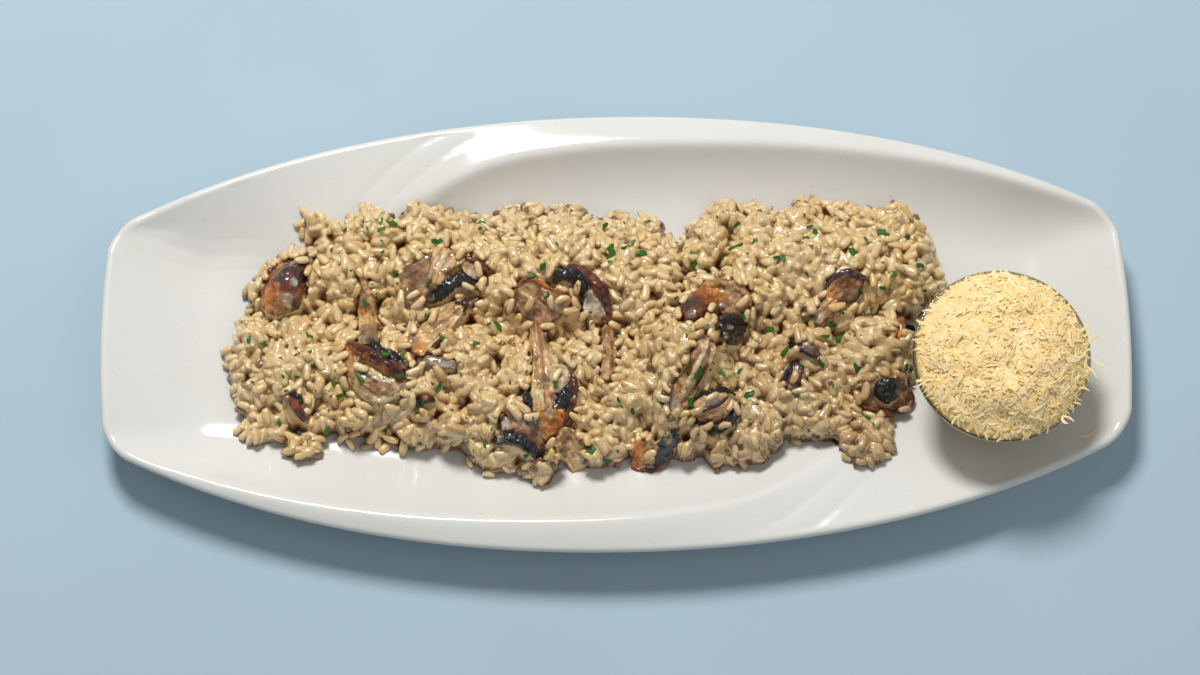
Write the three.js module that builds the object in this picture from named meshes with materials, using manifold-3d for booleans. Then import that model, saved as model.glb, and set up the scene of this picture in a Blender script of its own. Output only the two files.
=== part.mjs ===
// Mushroom risotto on a long porcelain platter with a swirled edge, and a small glass pot of grated
// cheese standing at its right end. Millimetres, +Z up. The origin is on the table under the middle of
// the platter, and the platter's length lies along X.
import * as THREE from "three";
import { mergeVertices } from "three/addons/utils/BufferGeometryUtils.js";
import Module from "manifold-3d";

const wasm = await Module();
wasm.setup();

// ---------------------------------------------------------------- driving dimensions

const GAP = 0.3; // clear space between neighbouring pieces

const PLATTER = {
  length: 410,
  width: 180.6,
  sideHeight: 22, // top of the edge in the middle of a long side
  cornerRise: 2, // how much higher the corners and the ends are
  wellHeight: 7.5, // top of the flat well
  wallThickness: 4.2,
  floorThickness: 4.5,
  taper: 0.403, // how fast the long sides draw in towards the ends
  squareness: 0.106,
  endBow: 2.5, // how much an end bulges in its middle
  cornerShare: { along: 0.05, across: 0.22 }, // how much of the half length and width a corner rounds
  endSlopeStart: 168, // where the flat well begins to climb to an end
  endSlopeSoftness: 0.06,
  wallCurve: 2.3, // how hollow the wall below the crest is
  footOuter: 0.515, // where the foot ring lies between the edge, 0, and the middle, 1
  footInner: 0.565,
  colour: 0xdfe0dc,
};

// The swirl: at stations along the back side, how far the crest lies in from the edge, how high it
// stands as a share of the edge's height over the well, and how long the wall below it is. From the
// right end the crest follows the edge. Left of the middle it swings in and sinks into a broad wing.
const SWIRL = [
  { station: -206, inset: 2, crest: 0.2, wall: 4 },
  { station: -185, inset: 12, crest: 0.02, wall: 8 },
  { station: -168, inset: 24, crest: 0, wall: 8 },
  { station: -148, inset: 31, crest: 0, wall: 8 },
  { station: -125, inset: 39, crest: 0.12, wall: 14 },
  { station: -105, inset: 41, crest: 0.38, wall: 22 },
  { station: -88, inset: 34, crest: 0.65, wall: 26 },
  { station: -72, inset: 26, crest: 0.86, wall: 28 },
  { station: -50, inset: 18.6, crest: 1.04, wall: 31 },
  { station: -20, inset: 15, crest: 1.16, wall: 34 },
  { station: 40, inset: 12, crest: 1.18, wall: 35 },
  { station: 120, inset: 7.5, crest: 1.16, wall: 38 },
  { station: 153, inset: 5.5, crest: 1.14, wall: 32 },
  { station: 173, inset: 4.4, crest: 1.1, wall: 24 },
  { station: 189, inset: 3.3, crest: 1.06, wall: 14 },
  { station: 206, inset: 2, crest: 1.02, wall: 4 },
];

const POT = {
  at: [149.6, -20.2],
  height: 38,
  // outer and inner half section, as radius and height above the base
  outside: [[14.6, 0], [16.4, 1.2], [22.6, 9], [28.3, 20], [31.9, 29.5], [34, 35.6], [34.8, 37.2]],
  inside: [[33, 37.2], [31.6, 33.5], [29, 27], [25.3, 18.6], [20, 10.8], [13.4, 5.4]],
  floor: 4.4,
  colour: 0xcfd8d6,
};

const CHEESE = {
  dome: 15, // height of the mound over the rim
  overhang: 0.6, // how much wider it is than the mouth
  lean: [1.5, 0.5], // how far it leans over the rim, so that the rim shows on the other side
  shreds: 24,
  shred: { length: 9, width: 1.5, thickness: 1.1 },
  colour: 0xf3e2a8,
};

// Spoonfuls of rice as they fell: middle, half sizes along X and Y, and height over the platter.
const SPOONFULS = [
  { at: [-126, -10.5], half: [30.5, 30], height: 17 },
  { at: [-141.5, -31], half: [8.5, 10], height: 8 },
  { at: [-125, -43], half: [6, 6], height: 8 },
  { at: [-130, 20.5], half: [18, 16], height: 16 },
  { at: [-121.5, 47.5], half: [6, 5], height: 5 },
  { at: [-101.5, 29.5], half: [23, 22], height: 19 },
  { at: [-97.5, -16], half: [28, 24], height: 20 },
  { at: [-67.5, 23.5], half: [33, 30], height: 23 },
  { at: [-69.5, -18], half: [30, 28], height: 23 },
  { at: [-42, -26], half: [28, 30], height: 22 },
  { at: [-31, -50], half: [9, 10], height: 13 },
  { at: [-28, 25.5], half: [34, 30], height: 24 },
  { at: [-8, -22], half: [24, 31], height: 19 },
  { at: [6, 23.5], half: [24, 28], height: 22 },
  { at: [27.5, -11.5], half: [23, 27], height: 29 },
  { at: [22, -24], half: [26, 28], height: 21 },
  { at: [51.5, 25.5], half: [28, 29], height: 23 },
  { at: [47.5, -27], half: [25, 28], height: 17 },
  { at: [83.5, 25.5], half: [32, 29], height: 23 },
  { at: [77.5, -19], half: [31, 27], height: 17 },
  { at: [110, 28.5], half: [20, 24], height: 20 },
  { at: [118.5, 20], half: [14, 14], height: 13 },
  { at: [103, -10.5], half: [18, 24], height: 17 },
  { at: [98.5, -42], half: [11.5, 14], height: 8 },
];

const RICE = {
  shoulder: 0.42, // how square-shouldered a spoonful is
  blend: 6, // how sharply spoonfuls meet
  pitch: 6, // about one bump for each grain
  bump: 1.3,
  leastLayer: 3, // about one grain, where the heap thins out
  grain: { length: 7.2, width: 4.1, thickness: 3.4 },
  looseSpacing: 34,
  edgeGrains: 18,
  colour: 0xd9c29a,
};

const PARSLEY = { flakes: 20, length: 5, width: 2.4, thickness: 0.8 };

// The mushroom pieces. A cap is a dome with its long and short width, its turn and how far it rises.
// A strip runs from one end to the other, or round an arc given by its middle, radius and two angles,
// with its widths at the start, the middle and the end. A wedge has its corners in plan.
const BROWN = 0x6b3f22;
const DARK = 0x2c2428;
const PALE = 0xb79a7c;
const MUSHROOMS = [
  {
    name: "mushroom_cap_left", form: "cap", colour: BROWN,
    at: [-132, 19], size: [31, 23], turn: 58, rise: 10,
  },
  {
    name: "mushroom_stem_left", form: "strip", colour: PALE,
    from: [-100.5, 24], to: [-94.5, -5], widths: [3, 6, 7], thickness: 6,
  },
  {
    name: "mushroom_cap_front_left", form: "cap", colour: BROWN,
    at: [-94, -23], size: [31, 23], turn: -33, rise: 10,
  },
  {
    name: "mushroom_gills_front_left", form: "strip", colour: DARK,
    from: [-100, -8], to: [-83, -18.5], widths: [4, 5, 4], thickness: 5,
  },
  {
    name: "mushroom_scrap_left", form: "strip", colour: BROWN,
    from: [-128, -24.5], to: [-123.5, -33.5], widths: [3.5, 5, 3], thickness: 4.5,
  },
  {
    name: "mushroom_wedge_back_left", form: "wedge", colour: PALE,
    corners: [[-86, 16.5], [-72.5, 28], [-59.5, 29], [-51, 22], [-56, 16], [-71.5, 10.5]], thickness: 8,
  },
  {
    name: "mushroom_slice_mid_left", form: "strip", colour: PALE,
    from: [-79, -8.5], to: [-58.5, 10.5], widths: [7.5, 9.5, 8], thickness: 5,
  },
  {
    name: "mushroom_slice_grey", form: "strip", colour: PALE,
    from: [-78, -12.5], to: [-63, -17], widths: [3, 5, 3.5], thickness: 4.5,
  },
  {
    name: "mushroom_curl_small", form: "strip", colour: DARK,
    middle: [-72, -35], radius: 5, angles: [165, 50], widths: [2.5, 3.5, 2.5], thickness: 4,
  },
  {
    name: "mushroom_slice_middle", form: "slice", colour: PALE,
    from: [-31.5, 3], to: [-27, -36.5], widths: [4, 7, 9],
    middle: [-27.5, -30.5], radius: 10.5, angles: [168, 372], thickness: 6,
  },
  {
    name: "mushroom_block_middle", form: "wedge", colour: PALE,
    corners: [[-41.5, 11.5], [-35, 17], [-25, 14], [-17.5, 9.5], [-20, 5.5], [-29.5, 3]], thickness: 7,
  },
  {
    name: "mushroom_cap_curved", form: "strip", colour: BROWN,
    middle: [-14.5, 8.5], radius: 10.5, angles: [135, -50], widths: [6, 9.5, 6], thickness: 8,
  },
  {
    name: "mushroom_stem_thin", form: "strip", colour: PALE,
    from: [-4.5, 0.5], to: [-2.5, -22], widths: [3, 5, 3.5], thickness: 5,
  },
  {
    name: "mushroom_cap_front", form: "strip", colour: DARK,
    middle: [-39.5, -53.5], radius: 11.4, angles: [128, 12], widths: [5, 7.5, 5], thickness: 6.5,
  },
  {
    name: "mushroom_slice_front", form: "strip", colour: PALE,
    from: [-44, -38.5], to: [-29, -43.5], widths: [4, 6, 4], thickness: 4.5,
  },
  {
    name: "mushroom_flake_front", form: "wedge", colour: PALE,
    corners: [[-23, -40], [-15.5, -42.5], [-13, -50.5], [-17, -55], [-23.5, -50]], thickness: 4.5,
  },
  {
    name: "mushroom_end_front", form: "wedge", colour: BROWN,
    corners: [[5.5, -46.5], [8, -53.5], [15.5, -54.5], [24, -50], [25, -46], [16, -46]], thickness: 8,
  },
  {
    name: "mushroom_cap_right", form: "cap", colour: BROWN,
    at: [39, 9], size: [28, 13.5], turn: 4, rise: 8,
  },
  {
    name: "mushroom_gills_right", form: "wedge", colour: DARK,
    corners: [[41, -1.5], [46, 2], [51.5, -1.5], [49.5, -7.5], [43.5, -9]], thickness: 6,
  },
  {
    name: "mushroom_stem_right", form: "strip", colour: PALE,
    from: [37, -6.5], to: [20.5, -35], widths: [6, 8, 8.5], thickness: 5.5,
  },
  {
    name: "mushroom_slice_right", form: "wedge", colour: DARK,
    corners: [[31, -30.5], [39, -27.5], [47, -30], [46, -39.5], [37.5, -42.5], [31, -38.5]], thickness: 6.5,
  },
  {
    name: "mushroom_curl_right", form: "strip", colour: DARK,
    middle: [91.5, 9], radius: 10, angles: [148, 35], widths: [5, 8, 4.5], thickness: 7,
  },
  {
    name: "mushroom_piece_right", form: "strip", colour: PALE,
    from: [87.5, 8.5], to: [78.5, 1], widths: [7, 7.5, 5], thickness: 5,
  },
  {
    name: "mushroom_gills_low", form: "strip", colour: DARK,
    from: [70, -5.5], to: [81, -14], widths: [4, 6.5, 4.5], thickness: 5.5,
  },
  {
    name: "mushroom_scrap_low", form: "strip", colour: DARK,
    from: [72, -17], to: [66, -28.5], widths: [4.5, 6, 4], thickness: 5,
  },
  {
    name: "mushroom_scrap_edge", form: "strip", colour: BROWN,
    from: [113.5, 7.5], to: [112.5, -7], widths: [3, 4.5, 3], thickness: 6,
  },
  {
    name: "mushroom_cap_edge", form: "cap", colour: DARK,
    at: [105.5, -29.5], size: [24, 13], turn: -14, rise: 7,
  },
];

// The platter's surface rings, as shares of the way in, and how far the last one draws in.
const TOP_RINGS = [0.03, 0.07, 0.11, 0.15, 0.2, 0.26, 0.33, 0.4, 0.46, 0.7, 1];
const RING_SHRINK = { along: 0.4, across: 0.9 };

const STRIP_SIDES = 6;
const HALF_LENGTH = PLATTER.length / 2;
const HALF_WIDTH = PLATTER.width / 2;
const DEGREE = Math.PI / 180;

// ---------------------------------------------------------------- small tools

// A repeatable random number from 0 to 1.
function randomSource(seed) {
  let state = seed;
  return () => {
    state = (state + 0x6d2b79f5) | 0;
    let mixed = Math.imul(state ^ (state >>> 15), 1 | state);
    mixed = (mixed + Math.imul(mixed ^ (mixed >>> 7), 61 | mixed)) ^ mixed;
    return ((mixed ^ (mixed >>> 14)) >>> 0) / 4294967296;
  };
}

function between(random, low, high) {
  return low + (high - low) * random();
}

// A closed solid from points and triangles, turned outwards if its faces run the other way.
function solidFrom(points, triangles) {
  const geometry = new THREE.BufferGeometry();
  const numbers = points.flatMap((p) => [p.x, p.y, p.z]);
  geometry.setAttribute("position", new THREE.Float32BufferAttribute(numbers, 3));
  geometry.setIndex(triangles.flat());
  return solidOf(geometry);
}

function solidOf(geometry) {
  const bare = geometry.clone();
  bare.deleteAttribute("normal");
  bare.deleteAttribute("uv");
  const merged = mergeVertices(bare, 1e-4);
  const vertProperties = merged.attributes.position.array;
  const corner = (i) => new THREE.Vector3().fromArray(vertProperties, 3 * i);
  const kept = [];
  let sixfoldVolume = 0;
  for (let i = 0; i < merged.index.count; i += 3) {
    const [a, b, c] = merged.index.array.slice(i, i + 3);
    if (a !== b && b !== c && c !== a) {
      kept.push([a, b, c]);
      sixfoldVolume += corner(a).dot(corner(b).cross(corner(c)));
    }
  }
  const outward = sixfoldVolume > 0 ? kept : kept.map(([a, b, c]) => [a, c, b]);
  const mesh = new wasm.Mesh({ numProp: 3, vertProperties, triVerts: Uint32Array.from(outward.flat()) });
  return new wasm.Manifold(mesh);
}

// The largest body of a solid: loose scraps left by a cut are dropped.
function largestBody(solid) {
  return solid.decompose().reduce((a, b) => (a.volume() > b.volume() ? a : b));
}

function meshOf(name, solid, material) {
  const mesh = solid.getMesh();
  const geometry = new THREE.BufferGeometry();
  const positions = new Float32Array(mesh.numVert * 3);
  for (let i = 0; i < mesh.numVert; i++) {
    positions.set(mesh.vertProperties.subarray(i * mesh.numProp, i * mesh.numProp + 3), i * 3);
  }
  geometry.setAttribute("position", new THREE.BufferAttribute(positions, 3));
  geometry.setIndex(new THREE.BufferAttribute(mesh.triVerts, 1));
  geometry.computeVertexNormals();
  const named = new THREE.Mesh(geometry, new THREE.MeshStandardMaterial(material));
  named.name = name;
  return named;
}

// Joins rings of equal count into a closed solid, each end closed by a fan to its middle.
function loft(rings) {
  const count = rings[0].length;
  const points = rings.flat();
  const triangles = [];
  for (let r = 0; r + 1 < rings.length; r++) {
    for (let i = 0; i < count; i++) {
      const next = (i + 1) % count;
      const a = r * count + i;
      const b = r * count + next;
      triangles.push([a, b, b + count], [a, b + count, a + count]);
    }
  }
  const last = (rings.length - 1) * count;
  const startMiddle = points.push(centreOf(rings[0])) - 1;
  const endMiddle = points.push(centreOf(rings[rings.length - 1])) - 1;
  for (let i = 0; i < count; i++) {
    const next = (i + 1) % count;
    triangles.push([startMiddle, next, i], [endMiddle, last + i, last + next]);
  }
  return solidFrom(points, triangles);
}

function centreOf(ring) {
  return ring.reduce((sum, p) => sum.add(p), new THREE.Vector3()).divideScalar(ring.length);
}

// ---------------------------------------------------------------- platter

const swirlCurve = new THREE.CubicInterpolant(
  SWIRL.map((row) => row.station),
  SWIRL.flatMap((row) => [row.inset, row.crest, row.wall]),
  3,
);

// Half the platter's width at x along its length.
function sideAt(x) {
  const u = x / HALF_LENGTH;
  return HALF_WIDTH * (1 - PLATTER.taper * u ** 2 - PLATTER.squareness * u ** 4);
}

function edgeHeight(x) {
  return PLATTER.sideHeight + PLATTER.cornerRise * (x / HALF_LENGTH) ** 2;
}

// A straight climb from 0 to 1 with a soft foot.
function softClimb(t) {
  const k = PLATTER.endSlopeSoftness;
  const foot = (u) => Math.sqrt(u * u + k * k) + u;
  return foot(t) / foot(1);
}

// Height of the upper surface. The two long sides are the same, turned half round.
function platterTop(x, y) {
  const along = y < 0 ? -x : x;
  const [inset, crest, wall] = swirlCurve.evaluate(along);
  const fromEdge = Math.max(0, sideAt(x) - Math.abs(y));
  let side = 0;
  if (fromEdge < inset) {
    const share = fromEdge / inset;
    side = THREE.MathUtils.lerp(1, crest, crest > 1 ? Math.sin((share * Math.PI) / 2) : share);
  } else if (fromEdge < inset + wall) {
    side = crest * (1 - (fromEdge - inset) / wall) ** PLATTER.wallCurve;
  }
  const reach = HALF_LENGTH - PLATTER.endSlopeStart;
  const end = Math.min(1, softClimb((Math.abs(x) - PLATTER.endSlopeStart) / reach));
  const share = side + end - side * end;
  return PLATTER.wellHeight + (edgeHeight(x) - PLATTER.wellHeight) * share;
}

// The outline as a rounded square of half size 1, spread to the platter's bowed ends and sides.
function platterOutline() {
  const { along, across } = PLATTER.cornerShare;
  const quarter = [];
  for (const v of [0, 0.42]) {
    quarter.push([1, v]);
  }
  for (let i = 0; i <= 3; i++) {
    const angle = (i / 3) * (Math.PI / 2);
    quarter.push([1 - along + along * Math.cos(angle), 1 - across + across * Math.sin(angle)]);
  }
  for (const u of [0.86, 0.74, 0.6, 0.45, 0.3, 0.15]) {
    quarter.push([u, 1]);
  }
  const mirrored = quarter.slice(1).map(([u, v]) => [-u, v]).reverse();
  const upper = [...quarter, [0, 1], ...mirrored];
  const square = [...upper, ...upper.map(([u, v]) => [-u, -v])];
  return square.map(([u, v]) => {
    const x = (HALF_LENGTH - PLATTER.endBow * v * v) * u;
    return new THREE.Vector2(x, sideAt(x) * v);
  });
}

// Rings of the platter, each one a share of the way from the edge, 0, to the middle, 1.
function platterRings() {
  const outline = platterOutline();
  const round = PLATTER.wallThickness / 2;
  const inwards = outline.map((p, i) => {
    const before = outline[(i + outline.length - 1) % outline.length];
    const after = outline[(i + 1) % outline.length];
    const turn = Math.PI / 2;
    return new THREE.Vector2().subVectors(after, before).normalize().rotateAround(new THREE.Vector2(), turn);
  });
  // The rounded edge, from its top at a quarter turn to its underside at minus a quarter turn.
  const edge = (angle) =>
    outline.map((p, i) => {
      const q = p.clone().addScaledVector(inwards[i], round * (1 - Math.cos(angle)));
      return new THREE.Vector3(q.x, q.y, edgeHeight(p.x) + round * (Math.sin(angle) - 1));
    });
  const inner = (share, height) =>
    outline.map((p, i) => {
      const q = p.clone().addScaledVector(inwards[i], round);
      const x = q.x * (1 - RING_SHRINK.along * share);
      const y = q.y * (1 - RING_SHRINK.across * share);
      return new THREE.Vector3(x, y, height(x, y));
    });
  return { edge, inner };
}

function makePlatter() {
  const { edge, inner } = platterRings();
  const underside = PLATTER.wellHeight - PLATTER.floorThickness;
  const under = (x, y) => Math.max(underside, platterTop(x, y) - PLATTER.wallThickness);
  const flat = () => underside;
  const table = () => 0;
  const quarter = Math.PI / 2;
  return loft([
    ...TOP_RINGS.map((share) => inner(share, platterTop)).reverse(),
    ...[1, 0.5, 0, -0.5].map((turn) => edge(turn * quarter)),
    ...[0.012, 0.1, 0.2, 0.34].map((share) => inner(share, under)),
    inner(PLATTER.footOuter - 0.02, flat),
    inner(PLATTER.footOuter, table),
    inner(PLATTER.footInner, table),
    inner(PLATTER.footInner + 0.02, flat),
    inner(1, flat),
  ]);
}

// The room that the platter takes up under the food: everything below its surface, and the gap.
function platterRoom() {
  const { inner } = platterRings();
  const lifted = (x, y) => platterTop(x, y) + GAP;
  const below = () => -5;
  return loft([...TOP_RINGS.map((share) => inner(share, lifted)).reverse(), inner(0, below)]);
}

// ---------------------------------------------------------------- rice

// Height of the heap over the platter at a place, 0 outside it.
function heapHeight(x, y) {
  let sum = 0;
  for (const { at, half, height } of SPOONFULS) {
    const inside = 1 - ((x - at[0]) / half[0]) ** 2 - ((y - at[1]) / half[1]) ** 2;
    if (inside > 0) {
      sum += (height * inside ** RICE.shoulder) ** RICE.blend;
    }
  }
  return sum ** (1 / RICE.blend);
}

function heapTop(x, y) {
  return platterTop(x, y) + heapHeight(x, y);
}

// The bare heap: a net of grain-sized bumps over the spoonfuls, cut off just above the platter.
function makeHeap() {
  const random = randomSource(11);
  const left = -164;
  const right = 140;
  const front = -62;
  const back = 62;
  const columns = Math.round((right - left) / RICE.pitch);
  const rows = Math.round((back - front) / RICE.pitch);
  const floor = PLATTER.wellHeight - 2;
  const points = [];
  for (let j = 0; j <= rows; j++) {
    for (let i = 0; i <= columns; i++) {
      const stagger = j % 2 ? 0.5 : 0;
      const onEdge = i === 0 || j === 0 || i === columns || j === rows;
      const wander = onEdge ? 0 : 0.28 * RICE.pitch;
      const x = left + (i + (onEdge ? 0 : stagger * 0.5)) * RICE.pitch + between(random, -wander, wander);
      const y = front + j * RICE.pitch + between(random, -wander, wander);
      const height = heapHeight(x, y);
      const bump = between(random, -RICE.bump, RICE.bump);
      const z = height > 0 ? platterTop(x, y) + Math.max(RICE.leastLayer, height + bump) : floor + 0.5;
      points.push(new THREE.Vector3(x, y, z));
    }
  }
  const under = points.map((p) => new THREE.Vector3(p.x, p.y, floor));
  const triangles = [];
  const wide = columns + 1;
  const lower = points.length;
  for (let j = 0; j < rows; j++) {
    for (let i = 0; i < columns; i++) {
      const a = j * wide + i;
      const b = a + 1;
      const c = a + wide + 1;
      const d = a + wide;
      triangles.push([a, b, c], [a, c, d]);
      triangles.push([lower + a, lower + c, lower + b], [lower + a, lower + d, lower + c]);
    }
  }
  const wall = (a, b) => triangles.push([a, lower + a, b], [b, lower + a, lower + b]);
  for (let i = 0; i < columns; i++) {
    wall(i, i + 1);
    wall(rows * wide + i + 1, rows * wide + i);
  }
  for (let j = 0; j < rows; j++) {
    wall((j + 1) * wide, j * wide);
    wall(j * wide + columns, (j + 1) * wide + columns);
  }
  return solidFrom([...points, ...under], triangles);
}

function grainShape(random, size) {
  const shape = new THREE.SphereGeometry(1, 5, 4);
  const swell = between(random, 0.9, 1.12);
  shape.scale((size.width * swell) / 2, (size.thickness * swell) / 2, (size.length * swell) / 2);
  shape.rotateX(Math.PI / 2 + between(random, -0.45, 0.45));
  shape.rotateZ(between(random, 0, Math.PI));
  return shape;
}

// Loose grains: a staggered net over the heap, then grains along its edge.
function looseGrains() {
  const random = randomSource(23);
  const grains = [];
  const spacing = RICE.looseSpacing;
  for (let j = 0; j * spacing < 110; j++) {
    for (let i = 0; i * spacing < 300; i++) {
      const x = -158 + (i + (j % 2) / 2) * spacing + between(random, -4, 4);
      const y = -54 + j * spacing * 0.87 + between(random, -4, 4);
      if (heapHeight(x, y) > 8 && clearOfMushrooms(x, y)) {
        grains.push(grainShape(random, RICE.grain).translate(x, y, heapTop(x, y) + 0.6));
      }
    }
  }
  for (let k = 0; k < RICE.edgeGrains; k++) {
    const angle = (k / RICE.edgeGrains) * 2 * Math.PI + between(random, -0.05, 0.05);
    const [x, y] = heapEdge(angle);
    if (clearOfMushrooms(x, y)) {
      const z = platterTop(x, y) + RICE.grain.thickness * 0.62;
      grains.push(grainShape(random, RICE.grain).translate(x, y, z));
    }
  }
  return grains;
}

// Where the heap ends in one direction, looking from a point that slides along its middle.
function heapEdge(angle) {
  const ahead = new THREE.Vector2(Math.cos(angle), Math.sin(angle));
  const start = new THREE.Vector2(125 * ahead.x, 10 * ahead.y);
  let reach = 90;
  const place = () => start.clone().addScaledVector(ahead, reach).toArray();
  while (reach > 5 && heapHeight(...place()) === 0) {
    reach -= 1;
  }
  return place();
}

// Chopped parsley: little bent leaves lying on the rice.
function parsleyFlakes() {
  const random = randomSource(37);
  const flakes = [];
  while (flakes.length < PARSLEY.flakes) {
    const x = between(random, -150, 128);
    const y = between(random, -48, 50);
    if (heapHeight(x, y) > 10 && clearOfMushrooms(x, y)) {
      const flake = new THREE.BoxGeometry(PARSLEY.length, PARSLEY.width, PARSLEY.thickness);
      flake.rotateX(between(random, -0.5, 0.5));
      flake.rotateZ(between(random, 0, Math.PI));
      flakes.push(flake.translate(x, y, heapTop(x, y) + PARSLEY.thickness));
    }
  }
  return flakes;
}

// ---------------------------------------------------------------- mushrooms

function middleOf(piece) {
  if (piece.form === "cap") {
    return piece.at;
  }
  if (piece.form === "wedge") {
    const sum = piece.corners.reduce((a, b) => [a[0] + b[0], a[1] + b[1]]);
    return sum.map((value) => value / piece.corners.length);
  }
  return pathOf(piece)(0.5);
}

function pathOf(piece) {
  if (piece.form === "strip" && piece.radius) {
    const [start, end] = piece.angles;
    return (s) => {
      const angle = THREE.MathUtils.lerp(start, end, s) * DEGREE;
      const [x, y] = piece.middle;
      return [x + piece.radius * Math.cos(angle), y + piece.radius * Math.sin(angle)];
    };
  }
  return (s) => [
    THREE.MathUtils.lerp(piece.from[0], piece.to[0], s),
    THREE.MathUtils.lerp(piece.from[1], piece.to[1], s),
  ];
}

// Height at which a piece is bedded: its underside sinks a little into the rice, clear of the platter.
function bedOf(x, y, thickness) {
  return Math.max(platterTop(x, y) + 1.2, heapTop(x, y) - 0.45 * thickness);
}

function makeCap({ at, size, turn, rise }, grow) {
  const shape = new THREE.SphereGeometry(1, 10, 6);
  shape.rotateX(Math.PI / 2);
  const under = 0.45 * rise;
  const position = shape.attributes.position;
  for (let i = 0; i < position.count; i++) {
    const z = position.getZ(i);
    position.setZ(i, z > 0 ? z * (rise + grow) : z * (under + grow));
  }
  shape.scale(size[0] / 2 + grow, size[1] / 2 + grow, 1);
  shape.rotateZ(turn * DEGREE);
  shape.translate(at[0], at[1], bedOf(at[0], at[1], rise) + under);
  return solidOf(shape);
}

// A strip of even thickness with rounded edges, along a line or round an arc.
function makeStrip(piece, grow) {
  const path = pathOf(piece);
  const [first, middle, last] = piece.widths;
  const steps = 4;
  const rings = [];
  const bed = bedOf(...path(0.5), piece.thickness);
  for (let k = 0; k <= steps; k++) {
    const s = k / steps;
    const [x, y] = path(s);
    const ahead = new THREE.Vector2(...path(s + 0.01)).sub(new THREE.Vector2(...path(s - 0.01))).normalize();
    const taper = k === 0 || k === steps ? 0.62 : 1;
    const { lerp } = THREE.MathUtils;
    const width = s < 0.5 ? lerp(first, middle, 2 * s) : lerp(middle, last, 2 * s - 1);
    const halfWidth = (width / 2) * taper + grow;
    const halfThickness = (piece.thickness / 2) * taper + grow;
    const shift = (k === 0 ? -grow : 0) + (k === steps ? grow : 0);
    const ring = [];
    for (let i = 0; i < STRIP_SIDES; i++) {
      const angle = (i / STRIP_SIDES) * 2 * Math.PI;
      const across = halfWidth * Math.cos(angle);
      const up = halfThickness * 1.15 * Math.sin(angle);
      ring.push(
        new THREE.Vector3(
          x - ahead.y * across + ahead.x * shift,
          y + ahead.x * across + ahead.y * shift,
          bed + piece.thickness / 2 + up,
        ),
      );
    }
    rings.push(ring);
  }
  return loft(rings);
}

// A cut piece with straight sides and softened corners.
function makeWedge({ corners, thickness }, grow) {
  const [cx, cy] = middleOf({ form: "wedge", corners });
  const stations = corners.map(([x, y]) => new THREE.Vector3(x, y, 0));
  const curve = new THREE.CatmullRomCurve3(stations, true, "catmullrom", 0.35);
  const outline = curve.getSpacedPoints(10).slice(0, 10);
  const bed = bedOf(cx, cy, thickness);
  const layers = [[0.8, -grow], [1, 0.3 * thickness], [1, 0.7 * thickness], [0.8, thickness + grow]];
  const rings = layers.map(([share, up]) =>
    outline.map((p) => {
      const out = new THREE.Vector2(p.x - cx, p.y - cy);
      out.setLength(out.length() * share + grow * 1.3);
      return new THREE.Vector3(cx + out.x, cy + out.y, bed + up);
    }),
  );
  return loft(rings);
}

// A lengthwise slice: the stem, and across its end the cap cut through.
function makeSlice(piece, grow) {
  const { from, to, widths, thickness, middle, radius, angles } = piece;
  const stem = makeStrip({ form: "strip", from, to, widths, thickness }, grow);
  const cap = makeStrip({ form: "strip", middle, radius, angles, widths: [4, 8, 4], thickness }, grow);
  return stem.add(cap);
}

const MUSHROOM_FORMS = { cap: makeCap, strip: makeStrip, wedge: makeWedge, slice: makeSlice };

function mushroomSolid(piece, grow = 0) {
  return MUSHROOM_FORMS[piece.form](piece, grow);
}

// True where no mushroom piece lies within a grain's length.
function clearOfMushrooms(x, y) {
  return MUSHROOMS.every((piece) => {
    const [cx, cy] = middleOf(piece);
    const reach = piece.form === "cap" ? piece.size[0] / 2 : 10;
    return Math.hypot(x - cx, y - cy) > reach + 2;
  });
}

// ---------------------------------------------------------------- pot and cheese

function potProfile(grow) {
  const outside = POT.outside.map(([r, z], i) => [r + grow, i === 0 ? z - grow : z]);
  const inside = POT.inside.map(([r, z]) => [r - grow, z]);
  const rim = [[34.3, POT.height + grow], [33.5, POT.height + grow]];
  const floor = POT.floor + grow;
  return [[0, -grow], ...outside, ...rim, ...inside, [0, floor]];
}

function makePot(grow = 0) {
  const profile = potProfile(grow).map(([r, z]) => new THREE.Vector2(r, z));
  const shape = new THREE.LatheGeometry(profile, 24);
  shape.rotateX(Math.PI / 2);
  shape.translate(POT.at[0], POT.at[1], PLATTER.wellHeight + GAP);
  return solidOf(shape);
}

// The mound fills the pot, domes over its rim and is ruffled by fine relief.
function makeCheeseCore() {
  const random = randomSource(5);
  const segments = 18;
  const spill = POT.inside[0][0] + CHEESE.overhang;
  const profile = [
    [0, POT.floor + GAP],
    ...[...POT.inside].reverse().map(([r, z]) => [r - GAP, z]),
    [POT.inside[0][0] - GAP, POT.height + 0.6],
    [spill, POT.height + 1.4],
    [spill - 0.6, POT.height + 0.28 * CHEESE.dome],
    [0.84 * spill, POT.height + 0.55 * CHEESE.dome],
    [0.64 * spill, POT.height + 0.8 * CHEESE.dome],
    [0.4 * spill, POT.height + 0.95 * CHEESE.dome],
    [0.17 * spill, POT.height + CHEESE.dome],
    [0, POT.height + CHEESE.dome],
  ];
  const ruffled = POT.inside.length + 3;
  const rings = profile.slice(1, -1).map(([r, z], level) =>
    Array.from({ length: segments }, (_, i) => {
      const angle = (i / segments) * 2 * Math.PI;
      const ruffle = level >= ruffled ? between(random, -0.9, 0.9) : 0;
      const reach = r + ruffle;
      const lean = level >= ruffled ? CHEESE.lean : [0, 0];
      return new THREE.Vector3(
        POT.at[0] + lean[0] + reach * Math.cos(angle),
        POT.at[1] + lean[1] + reach * Math.sin(angle),
        PLATTER.wellHeight + GAP + z + (level >= ruffled ? between(random, -0.6, 0.8) : 0),
      );
    }),
  );
  return loft(rings);
}

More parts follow.
